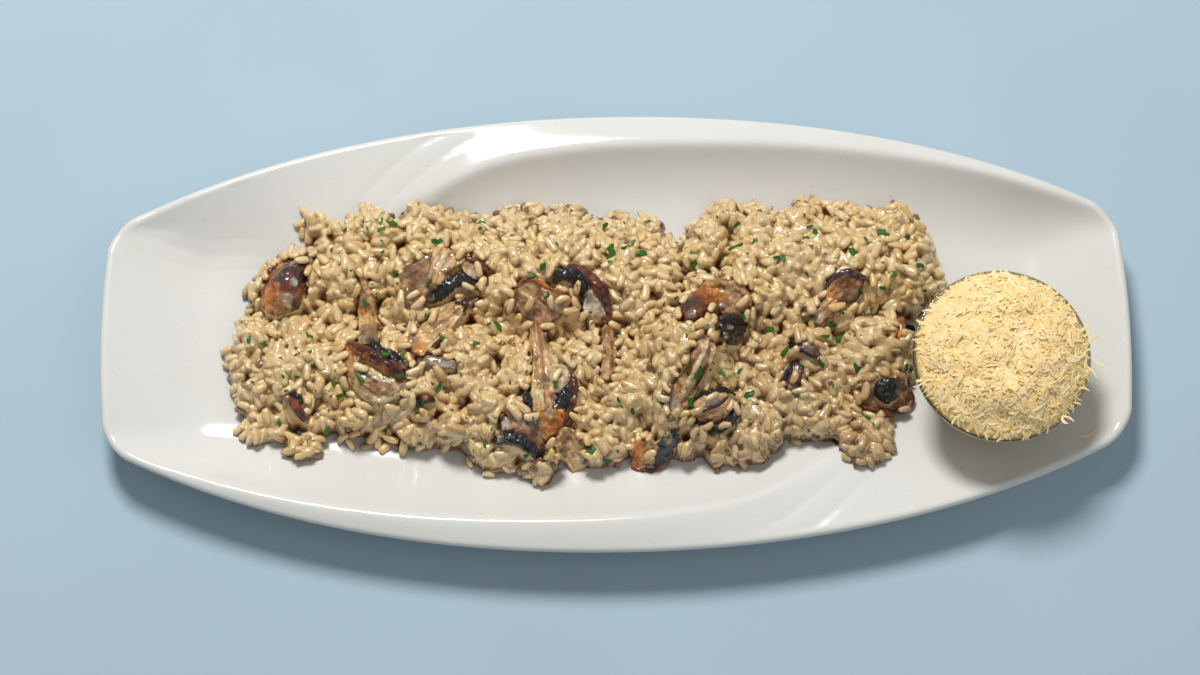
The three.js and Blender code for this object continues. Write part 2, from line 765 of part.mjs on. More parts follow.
// Grated shreds: flat bent strips lying every way over the mound, some past its edge.
function cheeseShreds() {
  const random = randomSource(71);
  const shreds = [];
  const { length, width, thickness } = CHEESE.shred;
  for (let k = 0; k < CHEESE.shreds; k++) {
    const share = Math.sqrt((k + 0.5) / CHEESE.shreds);
    const angle = k * 2.39996;
    const reach = share * (POT.inside[0][0] + CHEESE.overhang - 0.5);
    const fall = CHEESE.dome * (1 - share ** 2.6) * 0.97;
    const shred = new THREE.BoxGeometry(length * between(random, 0.7, 1.3), width, thickness, 2, 1, 1);
    const position = shred.attributes.position;
    for (let i = 0; i < position.count; i++) {
      position.setZ(i, position.getZ(i) - 0.03 * position.getX(i) ** 2);
    }
    const lean = between(random, -0.15, 0.25) + 0.5 * share ** 3;
    shred.rotateZ(between(random, -1.4, 1.4));
    shred.rotateY(lean);
    shred.rotateZ(angle);
    shreds.push(
      shred.translate(
        POT.at[0] + CHEESE.lean[0] + reach * Math.cos(angle),
        POT.at[1] + CHEESE.lean[1] + reach * Math.sin(angle),
        PLATTER.wellHeight + GAP + POT.height + Math.max(1.8, fall + 0.5),
      ),
    );
  }
  return shreds;
}

// ---------------------------------------------------------------- assembly

const dish = new THREE.Group();

dish.add(meshOf("platter", makePlatter(), { color: PLATTER.colour, roughness: 0.15, metalness: 0 }));

// Each mushroom piece is cut clear of those laid before it, and the rice is cut clear of them all.
const room = platterRoom();
const laid = [];
for (const piece of MUSHROOMS) {
  let solid = mushroomSolid(piece).subtract(room);
  for (const earlier of laid) {
    solid = solid.subtract(earlier);
  }
  laid.push(mushroomSolid(piece, GAP));
  dish.add(meshOf(piece.name, largestBody(solid), { color: piece.colour, roughness: 0.35, metalness: 0 }));
}

let rice = makeHeap();
for (const shape of [...looseGrains(), ...parsleyFlakes()]) {
  rice = rice.add(solidOf(shape));
}
rice = rice.subtract(room);
for (const taken of laid) {
  rice = rice.subtract(taken);
}
dish.add(meshOf("risotto", largestBody(rice), { color: RICE.colour, roughness: 0.4, metalness: 0 }));

dish.add(meshOf("glass_pot", makePot(), { color: POT.colour, roughness: 0.05, metalness: 0 }));

let cheese = makeCheeseCore();
for (const shape of cheeseShreds()) {
  cheese = cheese.add(solidOf(shape));
}
cheese = largestBody(cheese.subtract(makePot(GAP)));
dish.add(meshOf("grated_cheese", cheese, { color: CHEESE.colour, roughness: 0.6, metalness: 0 }));

export default dish;
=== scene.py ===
"""Mushroom risotto on a swirl-edged porcelain platter, with a small glass pot of grated cheese."""

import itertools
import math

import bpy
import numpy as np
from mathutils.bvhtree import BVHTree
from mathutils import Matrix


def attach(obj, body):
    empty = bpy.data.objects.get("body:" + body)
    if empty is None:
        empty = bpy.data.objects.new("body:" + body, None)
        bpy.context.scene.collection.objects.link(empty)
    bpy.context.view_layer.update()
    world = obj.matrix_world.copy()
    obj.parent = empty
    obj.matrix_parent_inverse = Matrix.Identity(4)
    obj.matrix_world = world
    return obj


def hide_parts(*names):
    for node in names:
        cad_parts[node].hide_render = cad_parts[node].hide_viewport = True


bl_info = {
    "name": "Mushroom Risotto on a Platter",
    "version": (1, 0, 0),
    "blender": (4, 5, 0),
    "location": "View3D > Sidebar > Risotto",
    "description": "Models a platter of mushroom risotto and a glass pot of grated cheese",
    "category": "Add Mesh",
}

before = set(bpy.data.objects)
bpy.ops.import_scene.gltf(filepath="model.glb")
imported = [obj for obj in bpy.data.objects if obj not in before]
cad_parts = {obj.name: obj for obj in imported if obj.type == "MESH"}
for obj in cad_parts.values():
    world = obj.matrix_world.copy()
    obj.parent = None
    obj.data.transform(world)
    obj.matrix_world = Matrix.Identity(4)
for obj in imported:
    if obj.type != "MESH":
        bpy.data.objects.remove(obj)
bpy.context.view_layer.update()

MM = 0.001
TURN = 2 * math.pi
BODY = "root"

# ---------------------------------------------------------------- the dish, in millimetres

HALF_LENGTH = 205.0
HALF_WIDTH = 90.3
WELL = 7.5
TAPER = 0.403
SQUARENESS = 0.106
END_BOW = 2.5
EDGE_HEIGHT = 22
EDGE_RISE_AT_ENDS = 2
CORNER_ALONG = 0.05
CORNER_ACROSS = 0.22
END_SLOPE_START = 168.0
END_SLOPE_SOFTNESS = 0.06
PLATTER_COLUMNS = 560
WALL_THICKNESS = 4.2
WALL_CURVE = 2.3
FLOOR_THICKNESS = 4.5
SHRINK_ALONG = 0.4
SHRINK_ACROSS = 0.9
FOOT_OUTER = 0.515
FOOT_INNER = 0.565
FOOT_ROUNDING = 0.008
FOOT_SLANT = 0.02
FOOT_STEP = 0.6

# Shifts and weights that average a surface over its neighbours.
AVERAGE = ((-2, 1 / 16), (-1, 4 / 16), (0, 6 / 16), (1, 4 / 16), (2, 1 / 16))

# Station along the back side, inset of the crest, its height as a share of the edge's, and the length
# of its wall. The front side has the same, half a turn on.
SWIRL = np.array([
    (-206, 2, 0.2, 4), (-185, 12, 0.02, 8), (-168, 24, 0, 8), (-148, 31, 0, 8), (-125, 39, 0.12, 14),
    (-105, 41, 0.38, 22), (-88, 34, 0.65, 26), (-72, 26, 0.86, 28), (-50, 18.6, 1.04, 31),
    (-20, 15, 1.16, 34), (40, 12, 1.18, 35), (120, 7.5, 1.16, 38), (153, 5.5, 1.14, 32),
    (173, 4.4, 1.1, 24), (189, 3.3, 1.06, 14), (206, 2, 1.02, 4),
], float)

# Shallow grooves pressed into the broad wing of the swirl, and where it runs into the end: points in
# plan on the back side, width and depth. Each is repeated half a turn on.
FLUTES = (
    (((-62, 86), (-74, 82), (-86, 73), (-97, 63), (-107, 51)), 4.5, 0.42),
    (((-50, 84), (-62, 79), (-74, 70), (-86, 60), (-95, 52)), 4.0, 0.36),
    (((-146, 75), (-153, 62), (-152, 50)), 3.0, 0.38),
    (((-143, 74), (-149.5, 62), (-148, 51)), 2.5, 0.32),
)

POT_AT = (149.6, -20.2)
POT_BASE = WELL + 0.3
POT_HEIGHT = 38.0
POT_FLOOR = 4.4
POT_OUTSIDE = ((14.6, 0), (16.4, 1.2), (22.6, 9), (28.3, 20), (31.9, 29.5), (34, 35.6), (34.8, 37.2))
POT_RIM = ((34.3, 38), (33.5, 38))
POT_INSIDE = ((33, 37.2), (31.6, 33.5), (29, 27), (25.3, 18.6), (20, 10.8), (13.4, 5.4))
RIM_HEIGHT = POT_BASE + POT_HEIGHT
CHEESE_LEAN = (0.4, 0.1)
MOUND_RADIUS = 33.0

# Shreds that stick out over the rim, and last of all crumbs that fell on the platter: place from the
# middle of the pot and the way they point.
PROUD_SHREDS = (
    (35.3, 6.2, 35), (37, -4.5, -35), (24, -25.5, -20), (28, -20, -15), (-8, -32, 95), (6.6, -32, -60),
    (-32.5, -10, 10), (-33, -12, 25), (34.5, -7, -50), (33.5, 1.5, 20), (31, -14, -10), (32.5, 10, 40),
    (33.6, 8, 60), (22, -27, -60), (35.5, -26, 10), (37.5, -25, 40),
)
CRUMBS_ON_PLATTER = 2

# Spoonfuls of rice as they fell: middle, half sizes along X and Y, and height over the platter.
SPOONFULS = (
    (-126, -10.5, 30.5, 30, 17), (-141.5, -31, 8.5, 10, 8), (-125, -43, 6, 6, 8), (-130, 20.5, 18, 16, 16),
    (-121.5, 47.5, 6, 5, 5), (-101.5, 29.5, 23, 22, 19), (-97.5, -16, 28, 24, 20),
    (-67.5, 23.5, 33, 30, 23), (-69.5, -18, 30, 28, 23), (-42, -26, 28, 30, 22), (-31, -50, 9, 10, 13),
    (-28, 25.5, 34, 30, 24), (-8, -22, 24, 31, 19), (6, 23.5, 24, 28, 22), (27.5, -11.5, 23, 27, 29),
    (22, -24, 26, 28, 21), (51.5, 25.5, 28, 29, 23), (47.5, -27, 25, 28, 17), (83.5, 25.5, 32, 29, 23),
    (77.5, -19, 31, 27, 17), (110, 28.5, 20, 24, 20), (118.5, 20, 14, 14, 13), (103, -10.5, 18, 24, 17),
    (98.5, -42, 11.5, 14, 8),
)
SHOULDER = 0.42
BLEND = 6

# Dark hollows between lumps of rice: middle, radius, depth.
HOLLOWS = (
    (10.4, -39.3, 5.0, 6), (-27.7, -3.8, 2.5, 4), (-19.7, 1.0, 3.5, 5), (-57.6, 3.6, 3.0, 5),
    (61.0, -8.5, 6.0, 5), (-13.4, -30.9, 4.5, 5), (38.3, -43.0, 3.0, 4), (-125.1, -35.2, 4.0, 4),
    (-45.0, 8.0, 3.5, 4), (56.0, 6.0, 3.5, 4), (88.0, -8.0, 5.0, 4), (-113.0, -2.0, 3.5, 4),
    (-60.0, -30.0, 4.0, 4), (3.0, 2.0, 3.5, 4), (97.0, 4.0, 3.5, 4), (-48.0, -12.0, 3.5, 4),
)

# Clumps and pits over the whole heap: how many, and from what to what they reach.
CLUMPS = 620
CLUMP_RADIUS = (6.0, 12.5)
CLUMP_CROWN = (-2.2, 3.0)
CLUMP_ROUNDNESS = 0.62
CREASE_FLOOR = -4.6
PITS = 150
PIT_RADIUS = (1.6, 3.2)
PIT_DEPTH = (2.0, 4.5)

# How grains are laid: places compared for each one, misses in a row that end it, height that must be
# lacking there, size against the usual one, how steep it may lie and roll, the percentage of the ground
# under it that it rests above, how proud it may stand, and how deep it may end up buried.
PLACES_COMPARED = 14
MISSES_ALLOWED = 900
LEAST_LACK = 0.3
GRAIN_SIZES = (0.82, 1.24)
STRAY_SIZES = (0.92, 1.08)
STEEPEST = 0.8
MOST_ROLL = 0.6
RESTS_ABOVE = 62
MOST_PROUD = 1.7
DEEPEST_KEPT = 4.0

SAUCE_PITCH = 0.65
SAUCE_SKIRT = 1.2

SEEDS = {"clumps": 5, "pits": 17, "rice": 3, "parsley": 8, "cheese": 12}

# ---------------------------------------------------------------- mushroom pieces

# Colours as they look in daylight, red, green and blue from 0 to 255.
PAINTS = {
    "orange": (218, 142, 62), "amber": (172, 98, 38), "red_brown": (112, 54, 30), "brown": (148, 104, 70),
    "plum": (76, 48, 46), "black": (22, 19, 23), "blue_black": (36, 38, 46), "tan": (198, 154, 106),
    "pink_tan": (208, 166, 126), "cream": (222, 198, 160), "grey": (172, 154, 132),
    "grey_white": (206, 196, 180), "dark_red": (66, 24, 18), "grey_brown": (140, 114, 92),
    "straw": (218, 180, 126),
}

# How far a rounded part goes down into the rice, and how far every piece stays over the platter.
DOME_DEPTH = 3
CLEAR_OF_PLATTER = 0.4


def slab(*corners, **look):
    """A cut face: its corners in plan with their height over the rice. It has a thickness."""
    return dict(look, slab=corners)


def dome(*outline, **look):
    """A rounded part: its outline in plan. It has a rise, and a lift of its rim over the rice."""
    return dict(look, dome=outline)


def band(*path, **look):
    """A rim, a fold or a row of gills: a path in plan with heights over the rice.

    It has widths along the path, a thickness, and a lean to its left side in degrees.
    """
    return dict(look, band=path)


# Each piece is cut and folded mushroom, put together from parts that grow into one another. "fibre" is
# the way a part's fibres run in plan, in degrees, and how deep they are, and "gills" is their pitch.
# Spots of another colour lie over the parts: middle, radius, colour.
MUSHROOMS = {
    "mushroom_cap_left": dict(slot="brown", parts=(
        dome((-141.5, 13.5), (-139.5, 20), (-136, 26), (-131, 30.5), (-125, 32), (-121.5, 29), (-122.5, 23),
            (-123.5, 17), (-125.5, 11), (-130, 9), (-136.5, 8.5), rise=8, lift=-1, colour="red_brown",
            fibre=(60, 0.35)),
        band((-141, 12, 1), (-139.5, 19, 1.4), (-136, 25, 1.6), (-131, 29.5, 1.6), (-126, 31.5, 1),
            widths=(2, 3, 3, 3, 2), thick=2.6, colour="amber"),
        band((-135, 11, 5.0), (-133.5, 18, 7.2), (-130.5, 24, 7), (-126, 29, 4),
            widths=(1.5, 3.5, 3.5, 1.5), thick=3, colour="plum"),
        band((-127, 31, 2), (-123.5, 31.5, 3), (-120.5, 28.5, 2), widths=(2, 4, 2.5), thick=3,
            colour="grey_brown"),
        slab((-129, 20.5, 7.2), (-127.6, 21.6, 7), (-126, 20.8, 6.4), (-125.8, 18.8, 6.2),
            (-127.2, 17.6, 6.6), (-128.6, 18.6, 7.2), thick=3, colour="grey_white"),
    ), spots=((-138.5, 14, 5, "amber"), (-139.5, 12, 3.6, "orange"), (-136, 17.5, 2.6, "orange"),
        (-136, 24, 3, "brown"), (-127, 26.5, 4, "plum"), (-132.5, 11, 3.6, "tan"),
        (-129.5, 12.5, 2.2, "cream"), (-127, 11.6, 1.8, "black"), (-124.8, 14.5, 3, "brown"),
        (-137.5, 20.5, 2, "amber"), (-124, 22, 2.5, "plum"), (-133.5, 28, 1.6, "orange"))),
    "mushroom_stem_left": dict(slot="pale", parts=(
        slab((-102, 21, 2), (-102.4, 7, 1.2), (-102, -6, 0.8), (-98.2, -7, 4.4), (-98.5, 8, 5.4),
            (-99.6, 23, 4), thick=4, colour="straw", fibre=(96, 0.35)),
        slab((-99.6, 23, 4), (-98.5, 8, 5.4), (-98.2, -7, 4.4), (-94.6, -6, 0.8), (-95, 7, 1.2),
            (-97.4, 20, 2), thick=4, colour="tan", fibre=(96, 0.35)),
    ), spots=((-100.5, 17, 3, "pink_tan"), (-100.5, 10, 2.2, "orange"), (-99.5, 4, 1.8, "straw"),
        (-97.5, -1, 3.4, "grey_brown"), (-100.5, -4.5, 2.6, "grey"), (-96, 12, 1.6, "tan"),
        (-96, -6, 2.6, "plum"))),
    "mushroom_cap_front_left": dict(slot="brown", parts=(
        dome((-104, -16), (-99, -14), (-91, -18.5), (-84, -21.5), (-81.5, -24), (-84, -27.5), (-88, -30),
            (-93, -30.5), (-99, -29), (-103.5, -23.5), rise=4, lift=0.4, colour="straw", fibre=(-35, 0.3)),
        slab((-108, -7, 1.2), (-104, -6.5, 4), (-101, -13, 5), (-102, -20, 3.6), (-104.5, -23.5, 0.8),
            (-107.5, -16, 0.6), thick=4.5, colour="tan", fibre=(-75, 0.3)),
        band((-107.5, -5, 2.5), (-101, -9.5, 5.4), (-93.5, -14, 6.8), (-87, -18.5, 5.8), (-82, -23, 2.2),
            widths=(2.5, 5.5, 6.5, 5.5, 2.5), thick=3.6, lean=-22, colour="red_brown", fibre=(-35, 0.25)),
        band((-104.5, -7, 5.2), (-97, -11.5, 7.8), (-90, -16, 7.8), (-84, -20.5, 5.2),
            widths=(1, 2.6, 2.6, 1), thick=2.4, colour="dark_red"),
        band((-101.5, -22, 2), (-98, -26.5, 3.2), (-92.5, -28.8, 3.8), (-87, -27.5, 3.4), (-83, -24.5, 2),
            widths=(2, 3, 3.6, 3.2, 2), thick=3, colour="cream"),
        band((-98.5, -18.5, 4.6), (-93, -22, 5), (-87.5, -23.8, 4.6), widths=(1.5, 2.4, 1.5), thick=2.4,
            colour="grey_white"),
    ), spots=((-95, -24.6, 2.6, "brown"), (-89.5, -25.5, 2.2, "grey_brown"), (-105.5, -9.5, 2.4, "orange"),
        (-98.5, -13, 1.5, "amber"), (-105, -19, 2.4, "straw"), (-92, -17.4, 1.3, "amber"),
        (-85, -22, 2, "red_brown"), (-83, -24.5, 1.6, "grey_white"))),
    "mushroom_gills_front_left": dict(slot="dark", parts=(
        band((-101, -4.5, 2), (-96.5, -6.5, 4), (-92, -10.5, 5), (-87, -14, 4.6), (-81.5, -18.5, 2),
            widths=(2.5, 4.5, 5, 5, 2.5), thick=4.2, colour="black", gills=1.3, fibre=(50, 0.3)),
    ), spots=((-84, -17, 2, "grey_brown"), (-99, -6, 1.2, "plum"))),
    "mushroom_scrap_left": dict(slot="brown", parts=(
        band((-128.6, -25.5, 1), (-127, -29, 2.6), (-125.4, -32, 2.4), (-123.6, -35, 0.8),
            widths=(2.6, 4.6, 4.4, 2.4), thick=3, lean=15, colour="red_brown"),
        band((-129, -25, 1.6), (-125.8, -26, 2.4), (-124, -29, 1.6), widths=(1.5, 2.4, 1.5), thick=2.4,
            colour="black"),
    ), spots=((-127.4, -29.5, 1.5, "amber"), (-124.6, -33.5, 1.8, "plum"))),
    "mushroom_wedge_back_left": dict(slot="pale", parts=(
        slab((-87.5, 21, 1), (-79, 26.5, 3), (-71.5, 30.5, 4.4), (-72.8, 23, 6.4), (-74, 16.5, 6),
            (-71.5, 10.5, 3.2), (-76, 10.5, 1.8), (-84.5, 14.5, 0.8), thick=5, colour="grey_brown",
            fibre=(30, 0.35)),
        slab((-71.8, 31.5, 4.4), (-64.5, 31, 4.6), (-59, 31, 3.2), (-57.5, 28.5, 3), (-65.5, 20.5, 6.2),
            (-69, 16, 6.2), (-74.2, 16, 6), (-73, 22.5, 7), thick=5, colour="straw", fibre=(65, 0.3)),
        band((-73.5, 10, 2.2), (-69, 13, 5), (-64.5, 16.8, 6), (-59.5, 18.2, 5), (-54, 16, 2),
            widths=(3, 5.6, 6.4, 5.6, 3), thick=4.6, colour="black", gills=1.3, fibre=(120, 0.35)),
        band((-61.5, 27.5, 3), (-56, 26, 4.6), (-51.5, 23, 4), (-49.5, 19.5, 1.5), widths=(2, 3.2, 3.2, 2),
            thick=3.2, colour="red_brown"),
        slab((-62, 26, 3.4), (-54, 24, 3.4), (-52, 18.5, 1.6), (-59, 20, 3.4), thick=4, colour="tan"),
    ), spots=((-79, 20.5, 3, "brown"), (-83.5, 18.5, 2.4, "pink_tan"), (-77, 14, 2.2, "straw"),
        (-75.5, 24.5, 2.2, "tan"), (-68, 24.5, 3, "cream"), (-66, 20.5, 2, "brown"),
        (-62.5, 28.5, 1.6, "amber"), (-72.5, 13, 1.6, "plum"), (-56, 21.5, 2, "grey_white"))),
    "mushroom_slice_mid_left": dict(slot="pale", parts=(
        slab((-73, 7.5, 1.5), (-66.5, 9, 3.6), (-59.5, 11.5, 4), (-54.5, 11.5, 2), (-59.5, 6, 3.4),
            (-64, 0.5, 4.2), (-69, -5.5, 4.2), (-76.5, -12.3, 2.4), (-82.8, -6.8, 1.6), (-81.5, -2, 2),
            (-76, 2, 2.6), thick=4, colour="straw", fibre=(41, 0.4)),
        band((-83.3, -6.3, 1.6), (-80, -9.8, 2.4), (-76, -13, 2), widths=(1.2, 1.8, 1.2), thick=2.4,
            colour="red_brown"),
        band((-63.5, 9.5, 4.4), (-59, 8.5, 4.6), (-60.5, 5, 3.8), widths=(0.9, 1.2, 0.9), thick=1.8,
            colour="dark_red"),
    ), spots=((-79.5, -6.5, 3.2, "tan"), (-77.5, -9.5, 2.4, "orange"), (-58.5, 10.5, 3, "plum"),
        (-63, 6.5, 1.8, "brown"), (-69.5, 1.5, 3, "pink_tan"), (-66, -1, 1.6, "tan"),
        (-74, -4, 2.2, "straw"))),
    "mushroom_slice_grey": dict(slot="pale", parts=(
        band((-79, -13.4, 0.8), (-70.5, -15, 2.4), (-62, -16.4, 0.8), widths=(3.5, 5.5, 3.5), thick=3,
            colour="grey", fibre=(-10, 0.3)),
    ), spots=((-77, -13, 2, "plum"), (-66, -16.5, 2.4, "grey_white"))),
    "mushroom_curl_small": dict(slot="dark", parts=(
        band((-77.8, -34.5, 0.8), (-77.2, -31, 2.8), (-74.5, -29.6, 3), (-71, -29.8, 1),
            widths=(1.6, 2.8, 2.8, 1.4), thick=3, colour="black"),
    ), spots=((-75, -29.5, 1.0, "amber"),)),
    "mushroom_slice_middle": dict(slot="pale", parts=(
        slab((-34, 1.5, 1), (-33.6, -11, 1.6), (-33.4, -23, 2), (-32.8, -35, 2.2), (-28.2, -35, 5.2),
            (-29.2, -23, 6.2), (-30.5, -10, 5.8), (-31.8, 4, 3.6), thick=4.4, colour="straw",
            fibre=(-86, 0.4)),
        slab((-31.8, 4, 3.6), (-30.5, -10, 5.8), (-29.2, -23, 6.2), (-28.2, -35, 5.2), (-24, -34, 2),
            (-24.8, -23, 2), (-27.2, -11, 1.6), (-29.4, 2, 1), thick=4.4, colour="pink_tan",
            fibre=(-86, 0.4)),
        band((-36, -25.5, 0.8), (-35.3, -30.5, 2.6), (-32.5, -36.5, 1.6), widths=(2.4, 4, 3), thick=4,
            colour="black", gills=1.2, fibre=(0, 0.2)),
        band((-26.5, -35, 3), (-22.5, -31.5, 4), (-19.8, -27, 3.6), (-18.8, -21.5, 1.5),
            widths=(3, 6.4, 5.6, 2.4), thick=4.2, colour="black", gills=1.3, fibre=(-30, 0.3)),
        dome((-24.5, -15), (-20.5, -15.5), (-18.8, -21), (-21.5, -26.5), (-25, -27), (-26.5, -21), rise=3.4,
            lift=1, colour="cream"),
        band((-22, -14, 1.6), (-18, -18.5, 3), (-16.6, -25, 3.4), (-17.4, -31, 3.2), (-20, -36.5, 3),
            (-24.5, -41.5, 2.2), (-30, -45.5, 0.8), widths=(1.6, 2.6, 3, 3, 3, 2.6, 1.6), thick=3.6,
            colour="red_brown"),
        slab((-32, -34, 3), (-27, -34.5, 4.6), (-20.8, -34.5, 4), (-21.6, -39.8, 3), (-29.2, -45.6, 1.4),
            (-31.8, -40.5, 2.4), thick=4.4, colour="orange", fibre=(-60, 0.2)),
    ), spots=((-31.5, 1.5, 2.2, "tan"), (-27.4, -20.0, 1.4, "brown"), (-26.2, -29, 1.6, "brown"),
        (-30.6, -29, 1.6, "cream"), (-26.5, -36.2, 1.6, "cream"), (-24, -40, 2.6, "amber"),
        (-29.5, -40, 1.6, "tan"), (-32, -14, 1.6, "brown"), (-17.6, -33.5, 2, "dark_red"))),
    "mushroom_block_middle": dict(slot="pale", parts=(
        slab((-41.5, 11, 1.6), (-35, 17.8, 4.6), (-26, 13.4, 5), (-17, 10, 3), (-20.5, 6, 2.4),
            (-29, 1.6, 1.6), (-35.5, 5, 1.6), thick=5, colour="pink_tan", fibre=(-32, 0.4)),
        band((-42, 11, 1.8), (-35.2, 18, 5), (-26, 13.8, 5.4), (-16.5, 10.4, 3), widths=(1, 1.8, 1.8, 1),
            thick=2.2, colour="amber"),
        band((-41.5, 10.5, 1.4), (-35.5, 4.8, 1.8), (-29, 1.4, 1.8), (-20.5, 5.6, 2),
            widths=(0.9, 1.3, 1.3, 0.9), thick=2, colour="brown"),
    ), spots=((-35.5, 13, 2, "straw"), (-30, 12, 1.5, "brown"), (-24, 9.5, 2, "grey_white"),
        (-38, 10, 1.6, "tan"), (-31, 6, 1.8, "brown"))),
    "mushroom_cap_curved": dict(slot="brown", parts=(
        band((-24.5, 17, 2), (-21, 19.4, 5), (-16.5, 19, 6), (-13.2, 15.6, 5), (-12.6, 11.5, 2.6),
            widths=(3, 5.4, 6.2, 5, 2.6), thick=4.4, colour="black", gills=1.4, fibre=(60, 0.3)),
        band((-21.5, 22.6, 1.6), (-16, 22.4, 4), (-11, 19.6, 5), (-6.8, 15.6, 5.6), (-3.8, 10.5, 5),
            (-3, 5.5, 3.6), (-5, 1.2, 1.2), widths=(1.8, 3.6, 4.6, 5, 4.6, 3.6, 2), thick=4.4, lean=-25,
            colour="red_brown", fibre=(-50, 0.2)),
        slab((-11.8, 13, 3), (-7.4, 15, 3.6), (-5, 9, 4), (-4, 4.6, 3), (-6, 1.8, 2), (-10.8, 2.8, 2),
            (-12.8, 7, 2.2), thick=4.4, colour="grey_white", fibre=(-60, 0.25)),
    ), spots=((-5, 13, 2.2, "dark_red"), (-2.6, 8, 2.2, "plum"), (-16, 22.6, 1.8, "plum"),
        (-9, 18, 1.6, "brown"), (-6.5, 4, 2.4, "pink_tan"), (-9.5, 11, 1.8, "grey"),
        (-4.4, 1.8, 2, "brown"), (-8.5, 7, 1.5, "cream"))),
    "mushroom_stem_thin": dict(slot="pale", parts=(
        slab((-6, 0, 1.2), (-5.8, -12, 1.6), (-6.2, -21.5, 1), (-3, -23, 3.2), (-2.6, -10, 4.6),
            (-3.6, 1.5, 3), thick=4, colour="pink_tan", fibre=(-88, 0.3)),
        slab((-3.6, 1.5, 3), (-2.6, -10, 4.6), (-3, -23, 3.2), (-0.6, -21.5, 1), (0.4, -9, 1.4),
            (-1.4, 0.5, 1.2), thick=4, colour="tan", fibre=(-88, 0.3)),
    ), spots=((-3.6, -1, 1.8, "brown"), (-1.4, -16, 1.6, "brown"), (-4.5, -19, 1.8, "tan"))),
    "mushroom_cap_front": dict(slot="dark", parts=(
        band((-48.5, -45.5, 1), (-43.5, -45, 3.2), (-38, -46.4, 4), (-33.5, -49, 3.4), (-29, -53.5, 1),
            widths=(2.6, 4.6, 5.2, 4.4, 2.4), thick=4.6, lean=-18, colour="black", gills=1.3,
            fibre=(80, 0.3)),
        band((-41, -41.6, 2), (-35, -43.4, 4.2), (-30.4, -47.2, 3.8), (-28, -52.5, 1.2),
            widths=(2, 3.6, 3.4, 2), thick=3.4, colour="brown"),
    ), spots=((-33, -44.4, 1.6, "plum"), (-29, -49, 1.8, "dark_red"), (-46, -45, 1.4, "grey"))),
    "mushroom_slice_front": dict(slot="pale", parts=(
        slab((-46, -37, 1), (-39, -37, 2.6), (-31.5, -40, 3), (-27.5, -45.5, 1.6), (-32.5, -43.6, 3.6),
            (-39, -41.8, 3), (-45, -42, 1.4), thick=4, colour="grey", fibre=(-20, 0.3)),
    ), spots=((-40, -39.5, 2.4, "pink_tan"), (-31.5, -42.5, 2.2, "grey_brown"),
        (-44, -39, 2, "grey_white"))),
    "mushroom_flake_front": dict(slot="pale", parts=(
        slab((-23, -40, 2), (-18, -40.5, 2.8), (-14, -45.5, 2.2), (-10.2, -50, 0.8), (-12.4, -53, 0.6),
            (-16, -54, 1), (-18, -55.5, 0.6), (-21, -52, 1.4), (-24.2, -50, 1.2), (-24.8, -45.5, 1.6),
            thick=3.4, colour="straw", fibre=(-62, 0.4)),
    ), spots=((-20, -43, 2.2, "tan"), (-15, -51, 2.4, "cream"), (-21.5, -49, 1.8, "grey_brown"))),
    "mushroom_end_front": dict(slot="brown", parts=(
        slab((4.6, -47.5, 1), (6.8, -44.8, 3), (10, -45.4, 3.6), (11.2, -49, 3), (9.2, -53, 1.4),
            (5.8, -53.4, 0.8), thick=5, colour="orange", fibre=(70, 0.2)),
        slab((9.6, -45.2, 3.2), (13, -45.4, 3.4), (16, -48, 2.6), (14, -52.6, 1.2), (9, -53.6, 0.8),
            (10.8, -49, 2.8), thick=4.6, colour="straw", fibre=(60, 0.3)),
        slab((14, -47.6, 2.4), (18, -45, 3.6), (23, -43, 3), (25, -46, 1.6), (20.4, -51.4, 1),
            (15, -53.4, 0.8), thick=5, colour="blue_black", fibre=(30, 0.35)),
        band((5, -53.5, 0.8), (10, -55, 1), (15.5, -54.6, 1), (21, -51.6, 0.8), widths=(1.4, 2, 2, 1.4),
            thick=2.4, colour="red_brown"),
    ), spots=((7, -51.5, 1.8, "amber"), (10.5, -46.5, 1.4, "brown"), (20, -46, 1.6, "grey"),
        (13, -47, 1.5, "cream"))),
    "mushroom_cap_right": dict(slot="brown", parts=(
        dome((25, 4), (28.5, 11), (32.5, 14.6), (37, 15.4), (41.5, 13.5), (41, 6.5), (37, 1.5), (33.5, -2),
            (28.5, -2), (25.8, 0.5), rise=6.4, lift=0.4, colour="red_brown", fibre=(40, 0.35)),
        band((33, 14.8, 3.4), (38, 16, 4.6), (43.5, 15.6, 4.8), (49, 14, 4.2), (53, 10.5, 2.8),
            (54, 5.5, 0.8), widths=(2, 3.2, 3.6, 3.6, 3, 2), thick=3.2, colour="tan"),
        slab((41, 13.5, 4), (48, 13.5, 4.2), (52.5, 9.5, 2.4), (51.5, 3, 1), (46, 2.4, 1.6), (41, 5, 2.4),
            thick=4, colour="pink_tan", fibre=(-40, 0.3)),
    ), spots=((34.5, 12.5, 3.2, "amber"), (38.5, 13, 2.4, "orange"), (29.5, 7, 3.6, "plum"),
        (37.5, 8.5, 2.4, "amber"), (44, 11, 2, "pink_tan"), (47.5, 7, 2.4, "straw"),
        (41.5, 10.5, 2.6, "orange"), (41, 6, 2.2, "brown"), (30, 1, 2, "grey_brown"),
        (50, 12.5, 2, "pink_tan"))),
    "mushroom_gills_right": dict(slot="dark", parts=(
        dome((40.5, -0.5), (44, 3), (48, 3), (51.6, 0.5), (50.8, -3.5), (47.5, -8.5), (43, -8.8),
            (41, -4.5), rise=4, lift=1.4, colour="black", gills=1.7, fibre=(30, 0.4)),
        band((41, 1, 3.4), (44.5, 3.4, 4.6), (49.5, 2.4, 4), (51.6, -1, 2), widths=(1, 1.8, 1.8, 1),
            thick=2.2, colour="plum"),
    ), spots=((44.8, -2.2, 1.2, "grey"), (43, -6.6, 1.4, "grey_brown"))),
    "mushroom_stem_right": dict(slot="pale", parts=(
